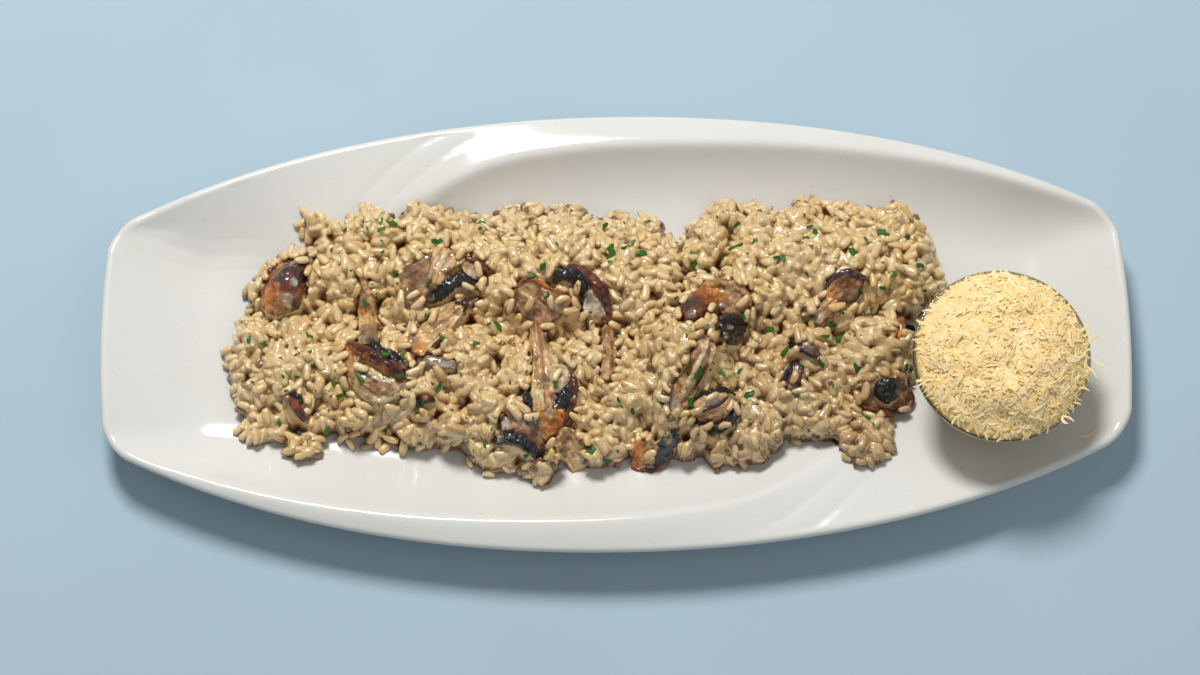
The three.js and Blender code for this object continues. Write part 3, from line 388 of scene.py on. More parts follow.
        slab((33.4, -6, 1.6), (38, -6.8, 2), (39, -14, 2.8), (35.6, -22.5, 3.8), (30, -31.5, 4.2),
            (27.2, -36, 2.2), (22, -36.8, 1.6), (18, -32.5, 1.6), (21.6, -27.5, 3.4), (27, -20, 4.4),
            (31, -12, 3.2), thick=4.4, colour="pink_tan", fibre=(62, 0.35)),
        band((36.5, -8, 3.4), (33.5, -17, 5.4), (28.5, -26, 5.8), (24, -33, 3.6), widths=(1, 2.2, 2.4, 1.4),
            thick=2.4, colour="cream"),
    ), spots=((36.5, -9, 2, "straw"), (28.5, -20.5, 1.4, "tan"), (21.5, -33.5, 2.4, "grey_white"),
        (34.6, -19, 1.4, "brown"))),
    "mushroom_slice_right": dict(slot="dark", parts=(
        dome((30, -33.5), (33, -31), (37.5, -29), (42.5, -28.5), (45.5, -32), (44.5, -36.8), (40.5, -38),
            (35, -39), (31, -37.8), rise=3, lift=1.2, colour="pink_tan", fibre=(20, 0.3)),
        band((29.6, -37.8, 1), (34.5, -41, 2.4), (41, -41, 2.8), (46, -37, 3.4), (47.8, -31, 2),
            widths=(2.2, 4, 4.4, 4.4, 2.4), thick=4, colour="black", gills=1.5, fibre=(40, 0.3)),
        band((32, -36.8, 3.4), (36.5, -35, 4.8), (41, -32.6, 4.8), (44, -29.6, 3),
            widths=(0.9, 1.3, 1.3, 0.9), thick=2, colour="dark_red"),
        band((34, -30.6, 3), (38, -28.4, 4), (43, -27.4, 3.4), (47, -29, 2), widths=(1, 2, 2.2, 1.4),
            thick=2.6, colour="black"),
    ), spots=((38.5, -32, 2, "grey_white"), (34, -34, 1.8, "cream"), (36, -41, 1.8, "red_brown"))),
    "mushroom_curl_right": dict(slot="dark", parts=(
        band((84.5, 14, 1.4), (88, 17.6, 4), (92.5, 18.8, 5), (97, 17.4, 4.8), (101.5, 16.8, 2.6),
            widths=(1.6, 3, 3.4, 3, 1.4), thick=3.6, colour="plum"),
        slab((86, 14.6, 3), (92, 17.6, 4.8), (98, 15.6, 4), (97, 11, 3), (93, 8.6, 2), (87.5, 8.6, 1.4),
            (83.4, 9.6, 1.2), thick=4.6, colour="brown", fibre=(55, 0.35)),
        band((98.6, 15.6, 3.8), (97, 12, 3.4), (95, 8.4, 1.4), widths=(1.4, 2.2, 1.2), thick=2.8,
            colour="dark_red"),
    ), spots=((88, 12, 2.2, "tan"), (92, 14, 1.8, "amber"), (84.6, 11, 1.6, "orange"),
        (93, 18.8, 1.6, "black"), (94, 10.5, 1.6, "grey_brown"))),
    "mushroom_piece_right": dict(slot="pale", parts=(
        slab((84, 9.6, 2), (90, 8.4, 2), (87, 4, 2.6), (81.6, 0, 1.6), (77, 1.6, 1), (80, 6, 2.4), thick=4,
            colour="pink_tan", fibre=(45, 0.35)),
    ), spots=((84.6, 7, 1.8, "straw"), (80, 2.6, 2, "grey_white"))),
    "mushroom_gills_low": dict(slot="dark", parts=(
        band((69, -5, 0.8), (73.4, -8, 3.2), (78, -11.4, 3.4), (82, -15, 0.8), widths=(1.6, 5, 5, 1.6),
            thick=3, lean=10, colour="grey_brown", fibre=(-38, 0.35)),
        band((69.4, -6.4, 1.8), (73, -10.4, 3.2), (78, -14, 2.4), widths=(1, 1.8, 1), thick=2.4,
            colour="black"),
    ), spots=((79.6, -12.6, 2, "dark_red"), (75, -8, 1.4, "grey_white"))),
    "mushroom_scrap_low": dict(slot="dark", parts=(
        slab((71, -16, 1.4), (74, -18, 2.2), (72.4, -24, 2.8), (69.4, -29, 1.4), (66, -28, 1.2),
            (66, -22, 1.6), (68.4, -18, 2), thick=4, colour="plum", fibre=(75, 0.35)),
        band((70, -15.4, 1.8), (67.2, -20, 3), (65.8, -26, 2.4), widths=(1.2, 2.2, 1.4), thick=3,
            colour="black"),
    ), spots=((71, -20, 1.4, "grey_brown"), (69.6, -25.6, 1.5, "grey"))),
    "mushroom_scrap_edge": dict(slot="brown", parts=(
        band((113.4, 8, 1), (113.4, 1, 3), (112.6, -7.5, 1), widths=(2, 4.4, 2.6), thick=3.4, lean=20,
            colour="amber", fibre=(88, 0.3)),
        band((115, 7, 1.6), (115.4, 0, 2.6), (114.2, -6.5, 1.4), widths=(0.9, 1.4, 0.9), thick=2.6,
            colour="dark_red"),
    ), spots=((113.2, 5.4, 2.2, "black"), (112.4, -3.6, 1.6, "orange"))),
    "mushroom_cap_edge": dict(slot="dark", parts=(
        slab((93, -27, 1.2), (97.5, -24, 2.6), (104, -23, 3.4), (111, -22, 3.4), (117, -24.4, 2.4),
            (117.4, -29.5, 2), (111.5, -33.6, 2), (102.5, -34, 1.8), (95.6, -32.4, 1), thick=4.4,
            colour="brown", fibre=(-10, 0.3)),
        dome((102, -25), (106.5, -22.6), (111, -24), (111.4, -28.6), (107.6, -31.8), (103, -30.6), rise=2.4,
            lift=2.6, colour="black", gills=1.4, fibre=(60, 0.3)),
        band((94, -31.8, 1.4), (100, -34.2, 2.8), (107.5, -34.8, 3.2), (113.8, -33, 3.2), (118.2, -28.4, 3),
            (117, -23.4, 1.8), widths=(1.2, 2, 2.2, 2.4, 2.2, 1.4), thick=2.8, colour="red_brown"),
    ), spots=((114, -27.5, 2, "pink_tan"), (112.5, -31.4, 1.8, "amber"), (98.5, -29.6, 2.4, "grey_brown"),
        (97, -27, 1.6, "plum"), (101, -32, 1.8, "tan"), (107, -33.6, 1.4, "dark_red"))),
}

# Grains that lie on mushroom pieces or stray from the heap: place in plan and the way they point.
STRAYS = (
    (-122, 25, 70), (-124.5, 29.5, 20), (-141, 29, 60), (-139.5, 24.5, 110), (-143, 25.5, 10),
    (-137.5, 30, 150), (-142.5, 22, 80), (-100.5, -17, -20), (-104, 4, 85), (-34, 8.5, 60),
    (-25.5, 8.5, 100), (-15, 14, 75), (-15.5, 9, 120), (-17.5, 6, 10), (-12.5, 4.5, 40), (-54, 22, 100),
    (-52.5, 16.5, 75), (-58.5, 31, 20), (-61, 28.5, 60), (-58, 15, 160), (98, -28, 75), (38.5, -1, 80),
    (38, 4.5, 60), (12.5, -50.5, 20), (37, -31.5, 30), (-23.5, -21, 60), (-125, 53.6, -55),
    (-123, 50.2, -35), (-121.2, 47.4, -70), (-119.4, 45, 10), (-76, 5, 40), (-80, 0, 100), (-72, 4, 70),
    (70, -22.5, 70), (88, 6, 15), (26, -14, 40), (31, -36.5, 20), (44.5, -34, 60), (47, -35, 110),
    (35.5, -41.5, 30), (42, -41.5, 10), (50.5, 8, 40), (52, 3.5, 80), (27, 8, 60), (33.5, -4, 20),
    (24.5, 2, 100), (114, -33, 20), (95, -30.5, 100), (-41.5, 8, 70), (-21, 9.5, 20), (-27, 0.5, 10),
    (-86.5, 18, 100), (-80, 12.5, 30), (-109, -40, 30), (-106, -42.5, 120), (-102.5, -41, 70),
    (-99, -42.6, 20), (-95.5, -41.8, 100), (-92, -43.4, 40), (-88.5, -42.8, 140), (-85, -44.4, 80),
    (-104, -39.5, 10), (-97, -40, 50), (-90, -41, 160),
)

# Flakes of parsley that catch the eye: place in plan, length and the way they point.
LEAVES = (
    (-123, 41, 3, 60), (-107.5, 40.5, 3.2, 20), (-99.5, 42, 2.6, 160), (-89, 44, 5.5, -20),
    (-92.5, 40, 5, 20), (-71.5, 35.5, 5, -5), (-53.5, 47, 4.5, 0), (-29, 23, 5.5, 60), (-32.5, 18.5, 4, 10),
    (-27, 10, 3, 20), (-5, 50.5, 4.5, -60), (-3.5, 41, 4.5, 40), (-1, 30, 6.5, 65), (4, 31, 4, 10),
    (10, 29.5, 6, 10), (14.5, 46.5, 4, 10), (32, 26, 5, 60), (48.5, 41.5, 5, 20), (49.5, 32.5, 6.5, 10),
    (56, 33, 3.5, 30), (67.5, 24.5, 3, 60), (78.5, 40, 4, 20), (80.5, 38, 5.5, -60), (76.5, 35.5, 3.5, 0),
    (95, 28, 5, -60), (108, 36.5, 5.5, -15), (122.5, 23.5, 5.5, 5), (123.5, 14, 3, 0), (111, 18.5, 4, 30),
    (107, 14, 5, 10), (60.5, -1, 6.5, 20), (65, 25, 3.5, 0), (-140, -3, 4, -20), (-87, 24, 3, 30),
    (-99, 12, 3.5, -40), (-130, -6, 4, 75), (-121, -2, 4, -50), (-113, -9, 4.5, 60), (-127, -18, 4, 0),
    (-110, -26, 4.5, 40), (-90.5, -12.5, 4.5, 30), (-84.5, -21, 4, 10), (-101, -21, 5, -60),
    (-69, -5, 4.5, -70), (-73, 17, 3, 20), (-84, -13, 5, -60), (-115, -38, 5, -65), (-109.5, -43, 4, -40),
    (-70, -24, 4.5, 70), (-55, -7, 3.5, 0), (-46, 2, 4, -50), (-24, -24.5, 3, 60), (-36, -52, 4.5, 30),
    (-20, -57, 4, 10), (-10, -49, 4.5, 10), (-5, -52, 6, -30), (6, -34, 5, -60), (32, -24, 6, 75),
    (29, -33, 5, -70), (52, -28, 6, 50), (67, -10, 5, 30), (71, -30, 3, 0), (81, -17, 4.5, -70),
    (83.5, -5, 5, 10), (86, 0, 5.5, 10), (89, -4, 5.5, 50), (76, 2, 3.5, 30), (99, -38, 3, 0),
    (106.5, -29.5, 3, 0), (95, -18, 6, -75), (127, -15, 4.5, 80), (115, -17, 4, 50), (101, 5, 3.5, 20),
    (-134, -34, 4, -70), (-146, -2, 3.5, 80),
)


# ---------------------------------------------------------------- settings

def colour_setting(name, description, default):
    """A colour that the user may change."""
    return bpy.props.FloatVectorProperty(
        name=name, description=description, default=default, size=3, min=0, max=1, subtype="COLOR")


def length_setting(name, description, default):
    """A length that the user may change."""
    return bpy.props.FloatProperty(
        name=name, description=description, default=default, min=0, precision=4, unit="LENGTH",
        subtype="DISTANCE")


def count_setting(name, description, default):
    """A number of copies that the user may change."""
    return bpy.props.IntProperty(name=name, description=description, default=default, min=1)


class PlatterSettings(bpy.types.PropertyGroup):
    crest_softness: length_setting("Crest softness", "How far the crest of the swirl is rounded", 1.2 * MM)
    porcelain: colour_setting("Porcelain", "Colour of the glazed porcelain", (0.78, 0.78, 0.745))


class RiceSettings(bpy.types.PropertyGroup):
    grain_length: length_setting("Grain length", "Length of a cooked grain", 6.5 * MM)
    grain_width: length_setting("Grain width", "Width of a cooked grain", 3.15 * MM)
    grain_thickness: length_setting("Grain thickness", "Thickness of a cooked grain", 2.7 * MM)
    grains: count_setting("Grains", "Most grains laid", 12000)
    rice: colour_setting("Rice", "Colour of the cooked rice", (0.81, 0.583, 0.265))
    sauce: colour_setting("Sauce", "Colour of the sauce between the grains", (0.68, 0.472, 0.215))


class GarnishSettings(bpy.types.PropertyGroup):
    flakes: count_setting("Flakes", "Small flakes strewn at random", 210)
    parsley: colour_setting("Parsley", "Colour of the parsley", (0.018, 0.10, 0.014))


class CheeseSettings(bpy.types.PropertyGroup):
    dome: length_setting("Dome", "Height of the mound over the rim", 15.0 * MM)
    shreds: count_setting("Shreds", "Shreds of grated cheese", 3600)
    cheese: colour_setting("Cheese", "Colour of the grated cheese", (1.0, 0.77, 0.35))


class StageSettings(bpy.types.PropertyGroup):
    floor: colour_setting("Floor", "Colour of the floor", (0.42, 0.555, 0.64))
    key_power: bpy.props.FloatProperty(
        name="Key light", description="Power of the large soft light", default=17.6, min=0, unit="POWER")
    fill: bpy.props.FloatProperty(
        name="Fill light", description="Strength of the light from all round", default=0.24, min=0)


SETTINGS = {
    "risotto_platter": PlatterSettings,
    "risotto_rice": RiceSettings,
    "risotto_garnish": GarnishSettings,
    "risotto_cheese": CheeseSettings,
    "risotto_stage": StageSettings,
}


# ---------------------------------------------------------------- surfaces of the dish

def curve_at(stations, values, place):
    """Values at places on a smooth curve through the values given at stations."""
    slope = np.diff(values, axis=0) / np.diff(stations)[:, None]
    tangent = np.vstack([slope[:1], (slope[1:] + slope[:-1]) / 2, slope[-1:]])
    i = np.clip(np.searchsorted(stations, place) - 1, 0, len(stations) - 2)
    width = (stations[i + 1] - stations[i])[..., None]
    t = (place - stations[i])[..., None] / width
    return (
        (2 * t**3 - 3 * t**2 + 1) * values[i] + (t**3 - 2 * t**2 + t) * width * tangent[i]
        + (3 * t**2 - 2 * t**3) * values[i + 1] + (t**3 - t**2) * width * tangent[i + 1]
    )


def along_points(points, steps):
    """Points evenly spaced on a smooth curve through a few points in plan."""
    points = np.array(points, float)
    chord = np.r_[0, np.cumsum(np.hypot(*np.diff(points[:, :2], axis=0).T))]
    return curve_at(chord, points, np.linspace(0, chord[-1], steps))


def swirl(station):
    """Inset, crest and wall at stations along the back side."""
    return np.moveaxis(curve_at(SWIRL[:, 0], SWIRL[:, 1:], station), -1, 0)


def side_at(x):
    """Half the platter's width at a place along it."""
    u = x / HALF_LENGTH
    return HALF_WIDTH * (1 - TAPER * u**2 - SQUARENESS * u**4)


def edge_height(x):
    """Height of the platter's rim at a place along it."""
    return EDGE_HEIGHT + EDGE_RISE_AT_ENDS * (x / HALF_LENGTH) ** 2


def soft_climb(t, softness=END_SLOPE_SOFTNESS):
    """A straight climb from 0 to 1 with a soft foot."""
    def foot(u):
        return np.sqrt(u * u + softness**2) + u
    return foot(t) / foot(1)


def side_share(from_edge, inset, crest, wall):
    """Height of the side as a share of the edge's height over the well."""
    from_edge = np.maximum(0, from_edge)
    share = np.clip(from_edge / inset, 0, 1)
    rise = np.where(crest > 1, np.sin(share * np.pi / 2), share)
    fall = crest * np.clip(1 - (from_edge - inset) / wall, 0, 1) ** WALL_CURVE
    return np.where(from_edge < inset, 1 + (crest - 1) * rise, fall)


def platter_top(x, y, soft=0.0):
    """Height of the platter's upper surface, its crest rounded over the distance `soft`."""
    x, y = np.broadcast_arrays(np.asarray(x, float), np.asarray(y, float))
    inset, crest, wall = swirl(np.where(y < 0, -x, x))
    from_edge = side_at(x) - np.abs(y)
    step = soft * np.clip(0.45 * from_edge / max(soft, 0.1), 0.5, 1 + 4 * np.clip(1 - crest, 0, 1))
    side = sum(
        weight * side_share(from_edge + shift * step, inset, crest, wall) for shift, weight in AVERAGE)
    reach = HALF_LENGTH - END_SLOPE_START
    end = np.minimum(1, soft_climb((np.abs(x) - END_SLOPE_START) / reach, END_SLOPE_SOFTNESS + 0.12 * soft))
    return WELL + (edge_height(x) - WELL) * (side + end - side * end)


def heap_height(x, y):
    """Height of the heap over the platter, 0 outside it."""
    total = 0
    for ax, ay, half_x, half_y, height in SPOONFULS:
        inside = np.clip(1 - ((x - ax) / half_x) ** 2 - ((y - ay) / half_y) ** 2, 0, None)
        total = total + (height * inside**SHOULDER) ** BLEND
    return total ** (1 / BLEND)


def heap_top(x, y):
    """Height of the heap's plain surface."""
    return platter_top(x, y) + heap_height(x, y)


# ---------------------------------------------------------------- small tools

def noise(x, y, z, size, seed=0):
    """Smooth noise from -1 to 1 whose swellings are about `size` apart."""
    place = np.stack(np.broadcast_arrays(x, y, z), -1) / size
    base = np.floor(place).astype(np.int64)
    share = place - base
    share = share * share * (3 - 2 * share)
    total = 0
    for corner in itertools.product((0, 1), repeat=3):
        cell = base + corner
        code = (cell[..., 0] * 73856093) ^ (cell[..., 1] * 19349663) ^ (cell[..., 2] * 83492791)
        code = (code ^ (seed * 40503 + 977)) & 0xFFFFFFFF
        code = ((code ^ (code >> 15)) * 2246822519) & 0xFFFFFFFF
        code = ((code ^ (code >> 13)) * 3266489917) & 0xFFFFFFFF
        value = ((code ^ (code >> 16)) & 0xFFFF) / 32767.5 - 1
        weight = np.prod(np.where(corner, share, 1 - share), axis=-1)
        total = total + weight * value
    return total


def smooth(low, high, value):
    """0 at one limit, 1 at the other, and a soft step between them."""
    t = np.clip((value - low) / (high - low), 0, 1)
    return t * t * (3 - 2 * t)


def blurred(field, steps):
    """A height map averaged with its neighbours a number of times."""
    for _ in range(steps):
        padded = np.pad(field, 1, mode="edge")
        field = (
            4 * field + 2 * (padded[1:-1, :-2] + padded[1:-1, 2:] + padded[:-2, 1:-1] + padded[2:, 1:-1])
            + padded[:-2, :-2] + padded[:-2, 2:] + padded[2:, :-2] + padded[2:, 2:]
        ) / 16
    return field


def lowest(field, steps):
    """A height map taken down to the lowest of its neighbours a number of times."""
    for _ in range(steps):
        padded = np.pad(field, 1, mode="edge")
        field = np.minimum.reduce([
            field, padded[1:-1, :-2], padded[1:-1, 2:], padded[:-2, 1:-1], padded[2:, 1:-1]])
    return field


def linear(rgb):
    """A colour from 0 to 255 as it looks, as light from 0 to 1."""
    share = np.array(rgb, float) / 255
    return np.where(share <= 0.04045, share / 12.92, ((share + 0.055) / 1.055) ** 2.4)


# ---------------------------------------------------------------- mesh tools

def add_sheet(name, columns, rows):
    """A flat grid to bend into a piece. Returns it with each point's place across and up it, 0 to 1."""
    if bpy.context.object and bpy.context.object.mode != "OBJECT":
        bpy.ops.object.mode_set(mode="OBJECT")
    bpy.ops.object.select_all(action="DESELECT")
    bpy.ops.mesh.primitive_grid_add(x_subdivisions=columns, y_subdivisions=rows, size=1)
    sheet = bpy.context.object
    sheet.name = name
    sheet.data.name = name
    place = read_points(sheet)
    return sheet, place[:, 0] + 0.5, place[:, 1] + 0.5


def read_points(piece):
    """The mesh's points, in the mesh's own units."""
    flat = np.empty(len(piece.data.vertices) * 3)
    piece.data.vertices.foreach_get("co", flat)
    return flat.reshape(-1, 3)


def put_points(piece, points):
    """Moves the mesh's points to places given in millimetres."""
    piece.data.vertices.foreach_set("co", (np.asarray(points, float) * MM).ravel())
    piece.data.update()


def paint(piece, name, colours):
    """Gives each point a colour, which the piece's finish reads."""
    colours = np.asarray(colours, float)
    layer = piece.data.attributes.new(name, "FLOAT_COLOR", "POINT")
    layer.data.foreach_set("color", np.c_[colours, np.ones(len(colours))].ravel())


def give_values(piece, name, values):
    """Gives each point a number, which the piece's finish reads."""
    layer = piece.data.attributes.new(name, "FLOAT", "POINT")
    layer.data.foreach_set("value", np.asarray(values, np.float32))


def only(piece):
    """Makes the piece the only selected and active one."""
    bpy.ops.object.select_all(action="DESELECT")
    piece.select_set(True)
    bpy.context.view_layer.objects.active = piece


def turn_outwards(gap=None):
    """Turns the active piece's faces outwards, and first merges points that are closer than the gap."""
    bpy.ops.object.mode_set(mode="EDIT")
    bpy.ops.mesh.select_all(action="SELECT")
    if gap:
        bpy.ops.mesh.remove_doubles(threshold=gap * MM)
    bpy.ops.mesh.normals_make_consistent(inside=False)
    bpy.ops.object.mode_set(mode="OBJECT")


def close_up(piece, gap=0.002):
    """Merges seams and poles, turns the faces outwards and shades the piece smooth."""
    only(piece)
    turn_outwards(gap)
    bpy.ops.object.shade_smooth()


def finish_piece(piece, material, replaced=()):
    """Puts the finish on a piece, lets it ride on the dish and stand for the plain solids."""
    piece.data.materials.clear()
    piece.data.materials.append(material)
    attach(piece, BODY)
    if replaced:
        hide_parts(*replaced)


def copies_piece(name, points, faces, places, turns, sizes):
    """One mesh of many copies of a small shape, each one turned, sized and put in its place.

    points: (shapes, p, 3) in millimetres, faces: rows of 3 or 4 point numbers, places: (n, 3),
    turns: (n, 3, 3), sizes: (n,). Copy k takes shape k modulo the number of shapes.
    """
    count, per = len(places), points.shape[1]
    corners = np.array([
        (face[0], face[i], face[i + 1]) for face in faces for i in range(1, len(face) - 1)])
    a, b, c = (points[0][corners[:, k]] for k in range(3))
    if (a * np.cross(b, c)).sum() < 0:
        faces = [tuple(reversed(face)) for face in faces]
    chosen = points[np.arange(count) % len(points)] * sizes[:, None, None]
    placed = np.einsum("nij,npj->npi", turns, chosen) + places[:, None]
    starts = np.cumsum([0] + [len(face) for face in faces])[:-1]
    flat = np.concatenate(faces)

    def repeated(indices, step):
        return (indices[None] + step * np.arange(count)[:, None]).ravel().astype(np.int32)

    mesh = bpy.data.meshes.new(name)
    mesh.vertices.add(count * per)
    mesh.vertices.foreach_set("co", (placed * MM).ravel())
    mesh.loops.add(count * len(flat))
    mesh.loops.foreach_set("vertex_index", repeated(flat, per))
    mesh.polygons.add(count * len(faces))
    mesh.polygons.foreach_set("loop_start", repeated(starts, len(flat)))
    mesh.update(calc_edges=True)
    mesh.validate()
    piece = bpy.data.objects.new(name, mesh)
    bpy.context.collection.objects.link(piece)
    only(piece)
    bpy.ops.object.shade_smooth()
    return piece


def lying(fall_x, fall_y, yaw, steepest, most_roll):
    """Slope and roll of something flat that points along a yaw on ground that climbs along X and Y."""
    slope = np.arctan(np.clip(fall_x * np.cos(yaw) + fall_y * np.sin(yaw), -steepest, steepest))
    roll = np.arctan(np.clip(-fall_x * np.sin(yaw) + fall_y * np.cos(yaw), -most_roll, most_roll))
    return slope, roll


def frames_from(yaw, slope, roll):
    """Turns that lay a shape's length, its X, at a yaw in plan, then climb by a slope and roll."""
    yaw, slope, roll = np.broadcast_arrays(yaw, slope, roll)
    cy, sy = np.cos(yaw), np.sin(yaw)
    cs, ss = np.cos(slope), np.sin(slope)
    cr, sr = np.cos(roll), np.sin(roll)
    zero = np.zeros_like(cy)
    one = np.ones_like(cy)
    turn_z = np.stack([cy, -sy, zero, sy, cy, zero, zero, zero, one], -1).reshape(-1, 3, 3)
    turn_y = np.stack([cs, zero, -ss, zero, one, zero, ss, zero, cs], -1).reshape(-1, 3, 3)
    turn_x = np.stack([one, zero, zero, zero, cr, -sr, zero, sr, cr], -1).reshape(-1, 3, 3)
    return turn_z @ turn_y @ turn_x


# ---------------------------------------------------------------- finishes

def new_finish(name):
    """A new material, its node tree and its shader."""
    material = bpy.data.materials.new(name)
    material.use_nodes = True
    tree = material.node_tree
    tree.nodes.clear()
    output = tree.nodes.new("ShaderNodeOutputMaterial")
    shader = tree.nodes.new("ShaderNodeBsdfPrincipled")
    tree.links.new(shader.outputs[0], output.inputs["Surface"])
    return material, tree, shader


def give_inputs(tree, node, inputs):
    """Sets each named input to a value, or links it to another node's output."""
    for key, value in inputs.items():
        if isinstance(value, bpy.types.NodeSocket):
            tree.links.new(value, node.inputs[key])
        else:
            node.inputs[key].default_value = value


def add_node(tree, kind, inputs=None, **settings):
    """A node with its settings and its inputs."""
    node = tree.nodes.new("ShaderNode" + kind)
    for key, value in settings.items():
        setattr(node, key, value)
    give_inputs(tree, node, inputs or {})
    return node


def object_noise(tree, scale, detail=2, roughness=0.5, distortion=0.0):
    """Noise over the object's own coordinates, `scale` swellings a metre."""
    place = add_node(tree, "TexCoord").outputs["Object"]
    return add_node(tree, "TexNoise", {
        "Vector": place, "Scale": scale, "Detail": detail, "Roughness": roughness,
        "Distortion": distortion}).outputs["Fac"]


def point_values(tree, name, output="Fac"):
    """The values or colours that a piece's points have under a name."""
    return add_node(tree, "Attribute", attribute_name=name).outputs[output]


def tinted(colour, by):
    """A colour whose red, green and blue are each multiplied, up to 1."""
    return tuple(min(1.0, part * factor) for part, factor in zip(colour, by))


def mixed(tree, factor, first, second, blend="MIX"):
    """One colour laid over another by a factor. Each may be a socket."""
    node = add_node(tree, "Mix", data_type="RGBA", blend_type=blend)
    colours = [c if isinstance(c, bpy.types.NodeSocket) else (*c[:3], 1) for c in (first, second)]
    give_inputs(tree, node, {0: factor, 6: colours[0], 7: colours[1]})
    return node.outputs[2]


def ranged(tree, value, low, high, to_low=0.0, to_high=1.0):
    """A value taken from one range to another, and kept inside it."""
    return add_node(tree, "MapRange", {
        "Value": value, "From Min": low, "From Max": high, "To Min": to_low, "To Max": to_high,
    }).outputs["Result"]


def layered(tree, base, *layers):
    """Lays colours over a base, each with its mask, the mask's values where it begins and is strongest,
    and how strong it is there."""
    for mask, low, high, strongest, colour in layers:
        base = mixed(tree, ranged(tree, mask, low, high, 0.0, strongest), base, colour)
    return base


def finished(tree, shader, colour, roughness, bump=None, scatter=None, **others):
    """Sets the shader's inputs.

    bump: height, distance and strength. scatter: weight, and how far red, green and blue go in.
    others: further inputs, with _ for each space in their names.
    """
    give_inputs(tree, shader, {"Base Color": colour, "Roughness": roughness})
    give_inputs(tree, shader, {key.replace("_", " "): value for key, value in others.items()})
    if scatter:
        weight, radius = scatter
        give_inputs(tree, shader, {
            "Subsurface Weight": weight, "Subsurface Radius": radius, "Subsurface Scale": 1.0})
    if bump:
        height, distance, strength = bump
        node = add_node(tree, "Bump", {"Height": height, "Distance": distance, "Strength": strength})
        give_inputs(tree, shader, {"Normal": node.outputs["Normal"]})


def porcelain_finish(settings):
    """White glaze, a little wavy, with a few fine specks."""
    material, tree, shader = new_finish("porcelain_glaze")
    white = tuple(settings.porcelain)
    warm = tinted(white, (0.965, 0.96, 0.945))
    speck = (0.62, 0.60, 0.55)
    base = layered(
        tree, warm, (object_noise(tree, 14, 2), 0.35, 0.65, 1.0, white),
        (object_noise(tree, 900, 0), 0.80, 0.82, 0.5, speck))
    finished(
        tree, shader, base, ranged(tree, object_noise(tree, 60, 3), 0.3, 0.7, 0.09, 0.14),
        (object_noise(tree, 90, 2), 0.00012, 0.5), (0.06, (0.002, 0.00175, 0.0015)), IOR=1.5)
    return material


def rice_finish(settings):
    """Cooked grains, a little see-through and wet with sauce. 'tone' makes each grain its own, and
    'depth' holds painted shade, darkening a grain where it is buried, on its underside and at the heap's
    front."""
    material, tree, shader = new_finish("cooked_rice")
    tone = point_values(tree, "tone")
    rice = tuple(settings.rice)
    pale = tinted(rice, (1.11, 1.2, 1.55))
    gold = tinted(rice, (0.88, 0.70, 0.48))
    # grey is the colour of the painted shade that 'depth' lays on the grains.
    grey = tinted(rice, (0.21, 0.10, 0.04))
    cloud = object_noise(tree, 260, 3, 0.6)
    speckle = object_noise(tree, 1100, 3, 0.65)
    base = layered(
        tree, rice,
        (tone, 0.35, 1.0, 1.0, pale), (tone, 0.38, 0.0, 1.0, gold),
        (cloud, 0.42, 0.75, 0.55, pale), (cloud, 0.42, 0.22, 0.5, gold),
        (speckle, 0.46, 0.3, 0.6, gold), (speckle, 0.54, 0.7, 0.6, pale),
        # Painted shade on buried grains, their undersides and the front of the heap, read from 'depth'.
        (point_values(tree, "depth"), 0.0, 1.0, 0.95, grey))
    finished(
        tree, shader, base, ranged(tree, object_noise(tree, 330, 2), 0.3, 0.7, 0.18, 0.32),
        (object_noise(tree, 560, 3, 0.6), 0.0005, 0.6), (0.45, (0.0016, 0.0013, 0.0008)),
        IOR=1.5, Coat_Weight=1.0, Coat_Roughness=0.07)
    return material


def sauce_finish(settings):
    """Creamy sauce between the grains, with painted shade in its hollows."""
    material, tree, shader = new_finish("creamy_sauce")
    sauce = tuple(settings.sauce)
    cloud = object_noise(tree, 170, 4, 0.6)
    base = layered(tree, sauce, (cloud, 0.35, 0.65, 1.0, tinted(sauce, (1.18, 1.24, 1.42))))
    # Painted shade: the sauce turns dark where it lies low under the heap's broad surface.
    base = mixed(tree, point_values(tree, "painted_hollow_shade"), base, tinted(sauce, (0.21, 0.11, 0.045)))
    finished(
        tree, shader, base, 0.32, (object_noise(tree, 480, 3, 0.6), 0.0006, 0.7),
        (0.25, (0.002, 0.0012, 0.0006)), Coat_Weight=1.0, Coat_Roughness=0.07)
    return material


def mushroom_finish(name):
    """Fried mushroom: its own painted colours, fine fibres, and a wet film."""
    material, tree, shader = new_finish(name)
    fine = object_noise(tree, 700, 4, 0.65)
    patch = object_noise(tree, 230, 3, 0.6, 0.6)
    fried, streaked, cream = (0.30, 0.18, 0.10), (0.35, 0.22, 0.14), (0.66, 0.53, 0.34)
    base = point_values(tree, "paint", "Color")
    base = mixed(tree, ranged(tree, patch, 0.4, 0.65, 0.0, 0.4), base, fried, "MULTIPLY")
    base = mixed(tree, ranged(tree, fine, 0.35, 0.6, 0.4, 0.0), base, streaked, "MULTIPLY")
    base = layered(tree, base, (object_noise(tree, 150, 4, 0.6, 0.4), 0.66, 0.76, 0.5, cream))
    grain = add_node(tree, "Math", {0: fine, 1: object_noise(tree, 1700, 2, 0.5)}, operation="ADD")
    finished(
        tree, shader, base, ranged(tree, patch, 0.3, 0.7, 0.25, 0.5), (grain.outputs[0], 0.0005, 0.9),
        (0.12, (0.002, 0.001, 0.0005)), Specular_IOR_Level=0.3, Coat_Weight=0.8, Coat_Roughness=0.05)
    return material


